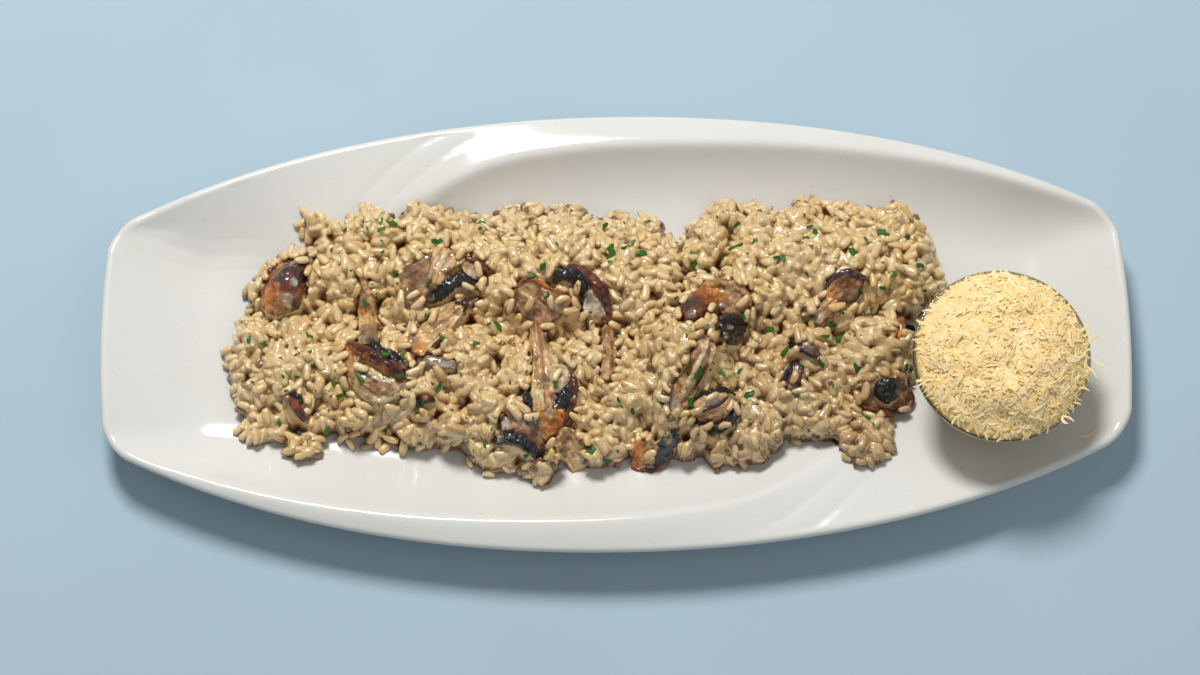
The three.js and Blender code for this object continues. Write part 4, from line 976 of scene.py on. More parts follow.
def parsley_finish(settings):
    """Chopped leaf with paler veins; 'tone' makes each flake its own."""
    material, tree, shader = new_finish("parsley_leaf")
    leaf = tuple(settings.parsley)
    pale = tinted(leaf, (3.4, 2.2, 1.6))
    vein = object_noise(tree, 900, 3, 0.6)
    base = layered(
        tree, leaf, (point_values(tree, "tone"), 0.0, 1.0, 0.75, pale), (vein, 0.45, 0.7, 0.5, pale))
    finished(
        tree, shader, base, ranged(tree, vein, 0.3, 0.7, 0.3, 0.5), (vein, 0.0003, 0.6),
        Specular_IOR_Level=0.3)
    return material


def cheese_finish(name, settings, scatter):
    """Grated cheese, gold to white by 'tone', which also holds painted light and shade. Where it scatters
    light it also has painted shade between the shreds, laid by noise.
    """
    material, tree, shader = new_finish(name)
    cheese = tuple(settings.cheese)
    white = tinted(cheese, (1.0, 1.09, 1.42))
    gold = tinted(cheese, (1.0, 0.84, 0.5))
    crumb = object_noise(tree, 1300, 3, 0.6)
    base = mixed(tree, point_values(tree, "tone"), gold, white)
    base = layered(tree, base, (crumb, 0.4, 0.7, 0.35, white))
    if scatter:
        # Painted shade: darker golden patches that stand for the shade between shreds.
        painted_gap_shade = object_noise(tree, 420, 3, 0.6, 0.8)
        base = layered(tree, base, (painted_gap_shade, 0.47, 0.34, 0.7, tinted(cheese, (0.8, 0.6, 0.32))))
    finished(
        tree, shader, base, ranged(tree, crumb, 0.3, 0.7, 0.5, 0.7), (crumb, 0.0003, 0.5),
        (scatter, (0.005, 0.004, 0.002)), Specular_IOR_Level=0.25)
    return material


def glass_finish():
    """Clear glass with the faint waves of a pressed pot."""
    material, tree, shader = new_finish("pot_glass")
    wave = object_noise(tree, 70, 1)
    finished(
        tree, shader, mixed(tree, wave, (0.97, 0.99, 0.985), (1, 1, 1)), 0.02, (wave, 0.0001, 0.3),
        IOR=1.5, Transmission_Weight=1.0)
    return material


def floor_finish(settings):
    """A plain cloth-coloured floor."""
    material, tree, shader = new_finish("plain_floor")
    colour = tuple(settings.floor)
    cloud = object_noise(tree, 8, 2)
    pale = tinted(colour, (1.06, 1.06, 1.06))
    finished(tree, shader, layered(tree, colour, (cloud, 0.3, 0.7, 1.0, pale)), 0.85)
    return material


# ---------------------------------------------------------------- platter

def rounded_square(turn):
    """Places round a square of half size 1, walked at an even pace along its straights and corners."""
    corner = 0.25 * math.pi * (CORNER_ALONG + CORNER_ACROSS)
    run = (1 - CORNER_ACROSS) / HALF_LENGTH * HALF_WIDTH + corner * 0.5
    # Shares of a quarter of the way: half the end, the corner, and half the long side.
    legs = np.cumsum([0, 0.62 * run, 0.10, 1 - CORNER_ALONG])
    legs = legs / legs[-1]
    quarter = np.mod(turn * 4, 4)
    side = np.floor(quarter).astype(int)
    s = quarter - side
    s = np.where(side % 2 == 0, s, 1 - s)
    v_run = np.clip(s / legs[1], 0, 1) * (1 - CORNER_ACROSS)
    bend = np.clip((s - legs[1]) / (legs[2] - legs[1]), 0, 1) * np.pi / 2
    u_run = np.clip((s - legs[2]) / (1 - legs[2]), 0, 1)
    u_bend = 1 - CORNER_ALONG + CORNER_ALONG * np.cos(bend)
    u = np.where(s < legs[2], u_bend, (1 - CORNER_ALONG) * (1 - u_run))
    v = np.where(s < legs[1], v_run, 1 - CORNER_ACROSS + CORNER_ACROSS * np.sin(bend))
    return u * np.where((side == 1) | (side == 2), -1, 1), v * np.where(side >= 2, -1, 1)


def platter_outline(turn):
    """Places on the platter's outline, and the way inwards, for turns from 0 to 1 round it."""
    def place(t):
        u, v = rounded_square(t)
        x = (HALF_LENGTH - END_BOW * v * v) * u
        return np.stack([x, side_at(x) * v], -1)

    step = 1e-4
    ahead = place(turn + step) - place(turn - step)
    ahead /= np.linalg.norm(ahead, axis=-1, keepdims=True)
    return place(turn), np.stack([-ahead[:, 1], ahead[:, 0]], -1)


def flute_depth(x, y):
    """How deep the pressed grooves are at a place."""
    steps = 40
    share = np.linspace(0, 1, steps)
    depth = np.zeros_like(x)
    for points, width, deepest in FLUTES:
        line = along_points(points, steps)
        fade = smooth(0, 0.3, share) * smooth(1, 0.75, share)
        for turned in (1, -1):
            gap = np.full_like(x, np.inf)
            keep = np.zeros_like(x)
            for (px, py), strength in zip(line * turned, fade):
                apart = np.hypot(x - px, y - py)
                keep = np.where(apart < gap, strength, keep)
                gap = np.minimum(gap, apart)
            depth = depth + deepest * keep * np.exp(-((gap / (0.5 * width)) ** 2) * 1.6)
    return depth


def platter_rows():
    """Rows of the rolled sheet, from the middle of the top over the edge to the middle of the underside."""
    rows = [("top", share) for share in np.linspace(1, 0.66, 9)[:-1]]
    rows += [("top", share) for share in np.linspace(0.66, 0.02, 54)]
    rows += [("top", 0.008)]
    rows += [("edge", share) for share in np.linspace(0, 1, 9)]
    rows += [("under", share) for share in (0.012, 0.04, 0.08, 0.13, 0.19, 0.26, 0.34, 0.42)]
    rows += [("floor", FOOT_OUTER - FOOT_SLANT), ("foot", FOOT_OUTER - FOOT_ROUNDING)]
    rows += [("table", FOOT_OUTER), ("table", FOOT_INNER)]
    rows += [("foot", FOOT_INNER + FOOT_ROUNDING), ("floor", FOOT_INNER + FOOT_SLANT)]
    rows += [("floor", 0.75), ("floor", 1)]
    return rows


def make_platter(settings):
    """One sheet, rolled from the middle of the top round the edge to the middle of the underside."""
    rows = platter_rows()
    piece, u, v = add_sheet("porcelain_platter", PLATTER_COLUMNS, len(rows) - 1)
    row = np.rint(v * (len(rows) - 1)).astype(int)
    outline, inwards = platter_outline(u)
    half = WALL_THICKNESS / 2
    soft = settings.crest_softness / MM
    underside = WELL - FLOOR_THICKNESS
    reaches = (0.6, 3.0)
    near, far = (platter_top(*(outline + inwards * reach).T, soft) for reach in reaches)
    tilt = np.arctan((far - near) / (reaches[1] - reaches[0]))
    brink = outline + inwards * (half * (1 - np.sin(tilt)))[:, None]
    centre = platter_top(*brink.T, soft) - half * np.cos(tilt)
    points = np.zeros((len(u), 3))
    for k, (kind, value) in enumerate(rows):
        at = row == k
        edge, inward = outline[at], inwards[at]
        if kind == "edge":
            angle = (np.pi / 2 - tilt[at]) * (1 - value) - np.pi / 2 * value
            plan = edge + inward * (half * (1 - np.cos(angle)))[:, None]
            height = centre[at] + half * np.sin(angle)
        else:
            begin = brink[at] if kind == "top" else edge + inward * half
            plan = begin * (1 - SHRINK_ALONG * value, 1 - SHRINK_ACROSS * value)
            x, y = plan.T
            if kind == "top":
                height = platter_top(x, y, soft) - flute_depth(x, y)
            elif kind == "under":
                height = np.maximum(underside, platter_top(x, y) - WALL_THICKNESS)
            else:
                height = np.full(len(x), {"floor": underside, "foot": FOOT_STEP, "table": 0.0}[kind])
        points[at] = np.c_[plan, height]
    put_points(piece, points)
    close_up(piece)
    finish_piece(piece, porcelain_finish(settings), ["platter"])


# ---------------------------------------------------------------- mushrooms

def bed_at(x, y):
    """Height of the rice that a mushroom piece lies on, evened out over a few millimetres."""
    places = ((0, 0), (4, 0), (-4, 0), (0, 4), (0, -4))
    return sum(heap_top(x + step_x, y + step_y) for step_x, step_y in places) / len(places)


def add_slab(facts):
    """A cut piece of flesh: its face from a many-cornered disc, drawn down to its thickness."""
    corners = np.array(facts["slab"], float)
    bpy.ops.object.select_all(action="DESELECT")
    bpy.ops.mesh.primitive_circle_add(vertices=len(corners), radius=0.01, fill_type="NGON")
    part = bpy.context.object
    corners[:, 2] += bed_at(corners[:, 0], corners[:, 1])
    put_points(part, corners)
    bpy.ops.object.mode_set(mode="EDIT")
    bpy.ops.mesh.select_all(action="SELECT")
    bpy.ops.mesh.extrude_region_move(TRANSFORM_OT_translate={"value": (0, 0, -facts["thick"] * MM)})
    bpy.ops.object.mode_set(mode="OBJECT")
    turn_outwards()
    return part


def squarer(wave, power):
    """A sine or cosine raised to a power, with its sign kept: under 1 it makes a round section squarer."""
    return np.sign(wave) * np.abs(wave) ** power


def add_dome(facts):
    """A rounded part, closed from the middle of its top over its rim to the middle of its underside."""
    part, u, v = add_sheet("dome", 40, 20)
    angle = np.mod(TURN * u + np.pi, TURN) - np.pi
    middle, reach = reach_of(facts["dome"], angle)
    polar = np.pi * v
    plan = middle + np.c_[np.cos(angle), np.sin(angle)] * (reach * np.sin(polar) ** 0.85)[:, None]
    swell = np.where(v < 0.5, facts["rise"], DOME_DEPTH) * squarer(np.cos(polar), 0.9)
    put_points(part, np.c_[plan, bed_at(*plan.T) + facts["lift"] + swell])
    close_up(part)
    return part


def reach_of(outline, angle):
    """How far an outline lies from its middle, at angles round it."""
    outline = np.array(outline, float)
    middle = outline.mean(0)
    away = along_points(np.vstack([outline[-2:], outline, outline[:2]]), 300) - middle
    turns = np.arctan2(away[:, 1], away[:, 0])
    order = np.argsort(turns)
    return middle, np.interp(angle, turns[order], np.hypot(*away.T)[order], period=TURN)


def add_band(facts, seed):
    """A rim, fold or row of gills: a ragged strip with a rounded section and blunt ends."""
    part, u, v = add_sheet("band", 16, 44)
    steps = 119
    line = along_points(facts["band"], steps + 1)
    line[:, 2] += bed_at(line[:, 0], line[:, 1])
    at = np.clip(v, 0, 1) * steps
    i = np.minimum(at.astype(int), steps - 1)
    middle = line[i] + (at - i)[:, None] * (line[i + 1] - line[i])
    ahead = (line[i + 1] - line[i])[:, :2]
    ahead /= np.linalg.norm(ahead, axis=1, keepdims=True)
    widths = facts["widths"]
    ragged = 1 + 0.16 * noise(at * 0.25, seed, 0, 3.5, seed)
    blunt = np.sqrt(np.clip(1 - np.abs(2 * v - 1) ** 7, 0, 1)) * ragged
    width = np.interp(v, np.linspace(0, 1, len(widths)), widths) * blunt
    angle = TURN * u
    across = 0.5 * width * squarer(np.cos(angle), 0.8)
    above = 0.5 * facts["thick"] * blunt * squarer(np.sin(angle), 0.8)
    lean = math.radians(facts.get("lean", 0))
    aside = across * math.cos(lean) - above * math.sin(lean)
    height = across * math.sin(lean) + above * math.cos(lean)
    plan = middle[:, :2] + np.c_[-ahead[:, 1], ahead[:, 0]] * aside[:, None]
    put_points(part, np.c_[plan, middle[:, 2] - 0.5 * facts["thick"] + height])
    close_up(part)
    return part


def skin_of(part):
    """The part's surface, in millimetres, to find what lies nearest."""
    faces = [tuple(face.vertices) for face in part.data.polygons]
    return BVHTree.FromPolygons((read_points(part) / MM).tolist(), faces)


def relief(points, facts, seed):
    """Wrinkles, fibres along a part and gills across it, as height over its surface."""
    x, y, z = points.T
    turn, depth = facts.get("fibre", (0, 0))
    ahead = math.radians(turn)
    along = x * math.cos(ahead) + y * math.sin(ahead)
    across = -x * math.sin(ahead) + y * math.cos(ahead)
    wrinkle = 0.4 * noise(x, y, z, 2.8, seed) + 0.28 * noise(x, y, z, 1.3, seed + 1)
    streak = noise(along * 0.13, across, 0.5 * z, 0.95, seed + 2)
    wrinkle = wrinkle + depth * streak
    if "gills" in facts:
        wave = np.sin(TURN * (across + 0.7 * noise(x, y, z, 3, seed + 3)) / facts["gills"])
        wrinkle = wrinkle + 0.2 * wave + 0.3 * noise(x, y, z, 1.5, seed + 4)
    return wrinkle, streak


def add_part(facts, seed):
    """The part that a slab, a dome or a band tells of."""
    if "slab" in facts:
        return add_slab(facts)
    return add_dome(facts) if "dome" in facts else add_band(facts, seed)


def grow_together(name, parts):
    """Joins parts into one piece with a single closed skin."""
    bpy.ops.object.select_all(action="DESELECT")
    for part in parts:
        part.select_set(True)
    piece = bpy.context.view_layer.objects.active = parts[0]
    bpy.ops.object.join()
    piece.name = piece.data.name = name
    skin = piece.modifiers.new("one_skin", "REMESH")
    skin.mode = "VOXEL"
    skin.voxel_size = 0.5 * MM
    bpy.ops.object.modifier_apply(modifier=skin.name)
    soften = piece.modifiers.new("soften", "SMOOTH")
    soften.factor = 0.5
    soften.iterations = 2
    bpy.ops.object.modifier_apply(modifier=soften.name)
    return piece


def make_mushroom(name, facts, finish, seed):
    """A piece of fried mushroom, wrinkled and painted part by part. Returns its points."""
    parts = [add_part(part, seed + k) for k, part in enumerate(facts["parts"])]
    skins = [skin_of(part) for part in parts]
    piece = grow_together(name.replace("mushroom_", "fried_"), parts)
    points = read_points(piece) / MM
    away = np.array([[skin.find_nearest(point)[3] for skin in skins] for point in points.tolist()])
    nearest = away.argmin(axis=1)
    normals = np.empty(len(points) * 3, np.float32)
    piece.data.vertices.foreach_get("normal", normals)
    colours = np.zeros((len(points), 3))
    wrinkle = np.zeros(len(points))
    for k, part in enumerate(facts["parts"]):
        own = nearest == k
        wrinkle[own], streak = relief(points[own], part, seed + 7 * k)
        tone = 1 + 0.30 * streak + 0.16 * noise(*points[own].T, 3.4, seed + k)
        colours[own] = linear(PAINTS[part["colour"]]) * np.clip(tone, 0.45, 1.6)[:, None]
    x, y, z = points.T
    ragged = 0.35 * noise(x, y, z, 2.6, seed + 50) + 0.25 * noise(x, y, z, 1.1, seed + 51)
    for sx, sy, radius, colour in facts["spots"]:
        share = 0.85 * smooth(1.35, 0.65, np.hypot(x - sx, y - sy) / radius + ragged)
        colours = colours + share[:, None] * (linear(PAINTS[colour]) - colours)
    # Painted shade in the hollows of the wrinkles and painted light on their ridges, multiplied into the
    # colours below.
    shade = np.clip(1 + 0.9 * wrinkle, 0.3, 1.5)
    points = points + normals.reshape(-1, 3) * wrinkle[:, None]
    keep_clear(points)
    put_points(piece, points)
    paint(piece, "paint", np.clip(1.12 * colours * shade[:, None], 0.002, 0.95))
    only(piece)
    bpy.ops.object.shade_smooth()
    finish_piece(piece, finish, [name])
    return points


def keep_clear(points):
    """Keeps a piece's points above the platter."""
    floor = platter_top(points[:, 0], points[:, 1]) + CLEAR_OF_PLATTER
    points[:, 2] = np.maximum(points[:, 2], floor)


# ---------------------------------------------------------------- rice

class HeapMap:
    """Heights over a fine net in plan, on which grains, flakes and sauce are laid."""

    pitch = 0.6
    left, right, front, back = -168.0, 144.0, -66.0, 66.0
    shows_from = 2.2
    sauce_under_mushroom = 3.4

    def __init__(self):
        self.x = np.arange(self.left, self.right, self.pitch)
        self.y = np.arange(self.front, self.back, self.pitch)
        self.xx, self.yy = np.meshgrid(self.x, self.y)
        self.floor = platter_top(self.xx, self.yy)
        stray_x, stray_y = (
            1.9 * noise(self.xx, self.yy, 0, 9, seed) + 1.3 * noise(self.xx, self.yy, 0, 4, seed + 1)
            for seed in (71, 73))
        height = heap_height(self.xx + stray_x, self.yy + stray_y)
        self.covered = height > 0
        lumps = self.lumps(np.random.default_rng(SEEDS["clumps"])) + 1.5 * noise(self.xx, self.yy, 0, 20, 5)
        for x, y, radius, depth in HOLLOWS:
            lumps -= depth * np.exp(-(np.hypot(self.xx - x, self.yy - y) / radius) ** 2)
        random = np.random.default_rng(SEEDS["pits"])
        for _ in range(PITS):
            x, y = random.uniform(self.left, self.right), random.uniform(self.front, self.back)
            away = np.hypot(self.xx - x, self.yy - y) / random.uniform(*PIT_RADIUS)
            lumps -= random.uniform(*PIT_DEPTH) * np.exp(-(away**2))
        thick = smooth(2, 10, height)
        self.target = self.floor + np.where(self.covered, height + lumps * thick, 0)
        self.top = np.maximum(self.floor, lowest(self.target, 7) - 1.2)
        self.bed = self.top.copy()
        self.mushroom = np.zeros_like(self.top, bool)

    def lumps(self, random):
        """Rounded clumps of rice that meet in creases, as heights above and below the heap's own."""
        field = np.full_like(self.floor, CREASE_FLOOR)
        for _ in range(CLUMPS):
            x = random.uniform(self.left, self.right)
            y = random.uniform(self.front, self.back)
            radius = random.uniform(*CLUMP_RADIUS)
            crown = random.uniform(*CLUMP_CROWN)
            square = self.square(*self.cell(x, y), int(radius / self.pitch) + 1)
            apart = ((self.xx[square] - x) ** 2 + (self.yy[square] - y) ** 2) / radius**2
            bump = crown - CLUMP_ROUNDNESS * radius * (1 - np.sqrt(np.clip(1 - apart, 0, 1)))
            field[square] = np.maximum(field[square], np.where(apart < 1, bump, CREASE_FLOOR))
        return field

    def cell(self, x, y):
        """Row and column of the net's knot that is nearest."""
        column = np.clip(np.rint((np.asarray(x) - self.left) / self.pitch).astype(int), 0, len(self.x) - 1)
        row = np.clip(np.rint((np.asarray(y) - self.front) / self.pitch).astype(int), 0, len(self.y) - 1)
        return row, column

    def square(self, row, column, reach):
        """The part of the net that goes some knots each way from one of them."""
        return tuple(slice(max(0, at - reach), at + reach + 1) for at in (row, column))

    def stamp(self, points):
        """Marks where a mushroom piece shows and how high it reaches."""
        reach = np.full_like(self.top, -1.0)
        np.maximum.at(reach, self.cell(points[:, 0], points[:, 1]), points[:, 2])
        grown = reach.copy()
        for down, right in itertools.product((-1, 0, 1), repeat=2):
            grown = np.maximum(grown, np.roll(reach, (down, right), (0, 1)))
        hit = grown > np.maximum(self.target - self.shows_from, self.floor)
        self.mushroom |= hit
        self.top = np.where(hit, np.maximum(self.top, grown), self.top)
        self.bed = np.where(hit, grown - self.sauce_under_mushroom, self.bed)


# Holds the map that the mushrooms leave for the rice and the parsley.
HEAP = {}


def lay_grains(heap, settings, random):
    """Drops grains one by one where the heap is lowest under its wanted height, each one at rest."""
    half_length = 0.5 * settings.grain_length / MM
    half_width = 0.5 * settings.grain_width / MM
    half_height = 0.5 * settings.grain_thickness / MM
    core = blurred(heap.mushroom.astype(float), 4) > 0.66
    edge = blurred(heap.covered.astype(float), 4) > 0.15
    rows, columns = np.nonzero(edge & ~core)
    round_about = blurred(heap.mushroom.astype(float), 10)
    wanted = np.maximum(heap.target + 1.0 * smooth(0.02, 0.4, round_about), heap.floor + 1.4)
    refused = np.zeros(heap.top.shape, np.float32)
    reach = int(half_length * 1.2 / heap.pitch) + 1
    window = np.arange(-reach, reach + 1)
    shift_x, shift_y = np.meshgrid(window * heap.pitch, window * heap.pitch)
    grains = []
    idle = 0

    def rest_at(r, c, yaw, size, sway):
        """Lets a grain come to rest on what is under it."""
        cos, sin = math.cos(yaw), math.sin(yaw)
        along = shift_x * cos + shift_y * sin
        across = -shift_x * sin + shift_y * cos
        inside = 1 - (along / (half_length * size)) ** 2 - (across / (half_width * size)) ** 2
        under = inside > 0
        square = heap.square(r, c, reach)
        ground = heap.top[square][under]

        def climb(way, limit):
            return float(np.clip(((ground - ground.mean()) * way).sum() / (way * way).sum(), -limit, limit))

        slope = climb(along[under], STEEPEST) + sway
        roll = climb(across[under], MOST_ROLL)
        bulge = half_height * size * np.sqrt(inside[under])
        lie = slope * along[under] + roll * across[under]
        rest = float(np.percentile(ground + bulge - lie, RESTS_ABOVE))
        return square, under, ground, rest, rest + lie + bulge, slope, roll

    def keep(x, y, yaw, size, found):
        """Adds a grain to the heap and to the list."""
        square, under, ground, rest, crown, slope, roll = found
        patch = heap.top[square]
        patch[under] = np.maximum(ground, crown)
        grains.append((x, y, rest, yaw, math.atan(slope), math.atan(roll), size))

    while len(grains) < settings.grains and idle < MISSES_ALLOWED:
        pick = random.integers(0, len(rows), PLACES_COMPARED)
        r, c = rows[pick], columns[pick]
        lack = wanted[r, c] - heap.top[r, c] - refused[r, c]
        best = int(np.argmax(lack))
        r, c = int(r[best]), int(c[best])
        if lack[best] < LEAST_LACK:
            idle += 1
            continue
        if not (reach < r < len(heap.y) - reach - 1 and reach < c < len(heap.x) - reach - 1):
            refused[r, c] = np.inf
            continue
        size = random.uniform(*GRAIN_SIZES)
        yaw = random.uniform(0, math.pi) + 0.9 * float(noise(heap.x[c], heap.y[r], 1, 11, 9))
        found = rest_at(r, c, yaw, size, random.normal(0, 0.28))
        if found[3] + half_height > wanted[r, c] + MOST_PROUD:
            refused[r, c] += 1.0
            idle += 1
            continue
        idle = 0
        keep(heap.x[c], heap.y[r], yaw, size, found)
    for x, y, turn in STRAYS:
        r, c = heap.cell(x, y)
        yaw = math.radians(turn)
        size = random.uniform(*STRAY_SIZES)
        keep(x, y, yaw, size, rest_at(r, c, yaw, size, 0))
    return np.array(grains)


def grain_shapes(settings, random, count=12):
    """Grain shapes: a ball drawn out blunt and plump, each one bent and swollen in its own way."""
    bpy.ops.object.select_all(action="DESELECT")
    bpy.ops.mesh.primitive_uv_sphere_add(segments=8, ring_count=6, radius=0.5, rotation=(0, math.pi / 2, 0))
    grain = bpy.context.object
    bpy.ops.object.transform_apply(location=True, rotation=True, scale=True)
    turn_outwards()
    ball = read_points(grain)
    faces = [tuple(face.vertices) for face in grain.data.polygons]
    bpy.data.objects.remove(grain)
    sizes = np.array([settings.grain_length, settings.grain_width, settings.grain_thickness]) / MM
    shapes = []
    for _ in range(count):
        shape = ball.copy()
        long = shape[:, 0] * 2
        shape[:, 0] = 0.5 * squarer(long, 0.84)
        thin = 1 - random.uniform(-0.15, 0.25) * long - random.uniform(-0.1, 0.12) * long**2
        thin = thin * np.clip(1 - long**2, 0.01, 1) ** -0.2
        shape[:, 1] *= thin
        shape[:, 2] *= thin
        plumpness = [random.uniform(*limits) for limits in ((0.86, 1.12), (0.88, 1.14), (0.9, 1.1))]
        shape = shape * sizes * plumpness
        shape[:, 1] += random.uniform(-0.7, 0.7) * (long**2 - 0.4)
        shape[:, 2] += random.uniform(-0.4, 0.4) * (long**2 - 0.4)
        shape += random.uniform(-0.17, 0.17, shape.shape)
        shapes.append(shape)
    return np.array(shapes), faces


def make_grains(heap, settings, random):
    """All the grains, in pieces small enough to keep whole."""
    grains = lay_grains(heap, settings, random)
    buried = heap.top[heap.cell(grains[:, 0], grains[:, 1])] - grains[:, 2]
    shows = buried < DEEPEST_KEPT
    shapes, faces = grain_shapes(settings, random)
    x, y, z, yaw, slope, roll, size = grains[shows].T
    # Painted shade over the front of the heap, most at its front right, added to the painted shade of
    # buried grains.
    shaded = 0.1 * smooth(-110, -60, x) * smooth(30, 0, y) + 0.33 * smooth(0, 45, x) * smooth(12, -28, y)
    depth = np.clip((buried[shows] - 1.5) / 2.0 + shaded, 0, 1)
    order = np.argsort(depth, kind="stable")
    material = rice_finish(settings)
    kinds = ("rice_grains_top", "rice_grains_between", "rice_grains_below")
    per = shapes.shape[1]
    for kind, part in zip(kinds, np.array_split(order, len(kinds))):
        turns = frames_from(yaw[part], slope[part], roll[part])
        piece = copies_piece(kind, shapes, faces, np.c_[x, y, z][part], turns, size[part])
        clump = 0.5 + 0.5 * noise(x[part], y[part], 0, 16, 21)
        tone = np.clip(0.65 * random.random(len(part)) + 0.35 * clump, 0, 1)
        give_values(piece, "tone", np.repeat(tone, per))
        # Painted shade on the lower part of each grain, added to 'depth'.
        below_middle = np.repeat(z[part], per) - read_points(piece)[:, 2] / MM
        underside = 0.6 * smooth(-0.3, 1.1, below_middle)
        give_values(piece, "depth", np.clip(np.repeat(depth[part], per) + underside, 0, 1))
        finish_piece(piece, material)


def make_sauce(heap, settings):
    """The creamy body under and between the grains, over the whole heap."""
    filled = np.where(heap.mushroom, heap.bed, heap.top)
    close = blurred(filled, 3)
    wide = blurred(filled, 14)
    low = 0.10 + 0.48 * noise(heap.xx, heap.yy, 0, 8, 41) + 0.22 * noise(heap.xx, heap.yy, 0, 3, 42)
    filled = close - np.clip(low, -0.25, 1.2) - 0.4 * np.clip(wide - close, 0, 3)
    filled = np.where(heap.mushroom, np.minimum(filled, heap.bed), filled)
    near = blurred(heap.covered.astype(float), 1)
    level = heap.floor - 0.5 + (filled - heap.floor + 0.5) * smooth(0.35, 0.95, near)
    length, width = heap.right - heap.left, heap.back - heap.front
    piece, u, v = add_sheet("risotto_sauce", int(length / SAUCE_PITCH), int(width / SAUCE_PITCH))
    x = heap.left + u * (length - 1)
    y = heap.front + v * (width - 1)
    at = heap.cell(x, y)
    put_points(piece, np.c_[x, y, level[at]])
    # How far the sauce lies under the heap's broad surface, kept for the painted shade in its hollows.
    give_values(piece, "painted_hollow_shade", np.clip(((wide - level)[at] - 0.35) / 1.5, 0, 1))
    cut_round(piece, near[at] > 0.02)
    close_up(piece, 0.0005)
    finish_piece(piece, sauce_finish(settings), ["risotto"])


def cut_round(sheet, kept):
    """Cuts away the faces with no kept point, and closes the rest of the sheet under itself."""
    only(sheet)
    mesh = sheet.data
    corners = np.empty(len(mesh.polygons) * 4, np.int32)
    mesh.polygons.foreach_get("vertices", corners)
    outside = ~kept[corners.reshape(-1, 4)].any(axis=1)
    bpy.ops.object.mode_set(mode="EDIT")
    bpy.ops.mesh.select_all(action="DESELECT")
    bpy.ops.object.mode_set(mode="OBJECT")
    mesh.polygons.foreach_set("select", outside)
    bpy.ops.object.mode_set(mode="EDIT")
    bpy.ops.mesh.select_mode(type="FACE")
    bpy.ops.mesh.delete(type="FACE")
    bpy.ops.mesh.select_mode(type="EDGE")
    bpy.ops.mesh.select_all(action="DESELECT")
    bpy.ops.mesh.select_non_manifold()
    bpy.ops.mesh.extrude_region_move(TRANSFORM_OT_translate={"value": (0, 0, -SAUCE_SKIRT * MM)})
    bpy.ops.mesh.select_all(action="SELECT")
    bpy.ops.mesh.fill_holes(sides=0)
    bpy.ops.object.mode_set(mode="OBJECT")


# ---------------------------------------------------------------- parsley

def flake_shapes(random, count=8):
    """Chopped leaf scraps: thin, with a notched outline and a fold."""
    around = 8
    angle = np.linspace(0, TURN, around, endpoint=False)
    shapes = []
    for _ in range(count):
        reach = random.uniform(0.3, 1.0, around)
        rim = np.c_[0.62 * reach * np.cos(angle), 0.32 * reach * np.sin(angle)]
        rim[:, 1] += random.uniform(-0.4, 0.4) * rim[:, 0] ** 2
        fold = random.uniform(-0.4, 0.4)
        top = np.c_[rim, fold * rim[:, 0] ** 2 + random.uniform(-0.05, 0.05, around) + 0.05]
        low = top - (0, 0, 0.07)
        middle = np.array([[0.02, 0, 0.08], [0.02, 0, -0.02]])
        shapes.append(np.vstack([top, low, middle]))
    faces = []
    for i in range(around):
        j = (i + 1) % around
        faces += [(2 * around, i, j), (2 * around + 1, around + j, around + i)]
        faces += [(i, around + i, around + j, j)]
    return np.array(shapes), faces


def make_parsley(heap, settings, random):
    """The flakes that catch the eye, and small ones strewn where the rice is high."""
    shapes, faces = flake_shapes(random)
    soft = blurred(heap.top, 3)
    rows, columns = np.nonzero(heap.covered & (heap.target - heap.floor > 6) & (heap.top > soft + 0.2))
    pick = random.integers(0, len(rows), settings.flakes)
    leaves = np.array(LEAVES)
    leaves = leaves[heap.covered[heap.cell(leaves[:, 0], leaves[:, 1])]]
    named = heap.cell(leaves[:, 0], leaves[:, 1])
    r = np.r_[named[0], rows[pick]]
    c = np.r_[named[1], columns[pick]]
    x, y = heap.x[c], heap.y[r]
    step = 2
    apart = 2 * step * heap.pitch
    fall_x = (soft[r, np.minimum(c + step, soft.shape[1] - 1)] - soft[r, c - step]) / apart
    fall_y = (soft[np.minimum(r + step, soft.shape[0] - 1), c] - soft[r - step, c]) / apart
    yaw = np.r_[np.radians(leaves[:, 3]), random.uniform(0, TURN, len(pick))]
    slope, roll = lying(fall_x, fall_y, yaw, 1.0, 1.0)
    strewn = random.uniform(1.0, 2.8, len(pick)) * random.uniform(0.8, 1.3, len(pick))
    size = np.r_[1.1 * leaves[:, 2], strewn]
    z = heap.top[r, c]
    for end in (-0.3 * size, 0.3 * size):
        under_end = heap.top[heap.cell(x + end * np.cos(yaw), y + end * np.sin(yaw))]
        z = np.maximum(z, under_end - end * np.tan(slope))
    turns = frames_from(yaw, slope, roll)
    piece = copies_piece("parsley_flakes", shapes, faces, np.c_[x, y, z + 0.12], turns, size)
    bpy.ops.object.shade_flat()
    give_values(piece, "tone", np.repeat(random.random(len(x)), shapes.shape[1]))
    finish_piece(piece, parsley_finish(settings))


# ---------------------------------------------------------------- pot and cheese

def rolled(name, profile, columns, place, shape=None):
    """A closed round piece from a half section given as radius and height."""
    profile = np.array(profile, float)
    piece, u, v = add_sheet(name, columns, len(profile) - 1)
    row = np.rint(v * (len(profile) - 1)).astype(int)
    angle = TURN * u
    radius, height = profile[row].T
    if shape:
        radius, height = shape(angle, radius, height, row)
    put_points(piece, np.c_[
        place[0] + radius * np.cos(angle), place[1] + radius * np.sin(angle), place[2] + height])
    close_up(piece)
    return piece


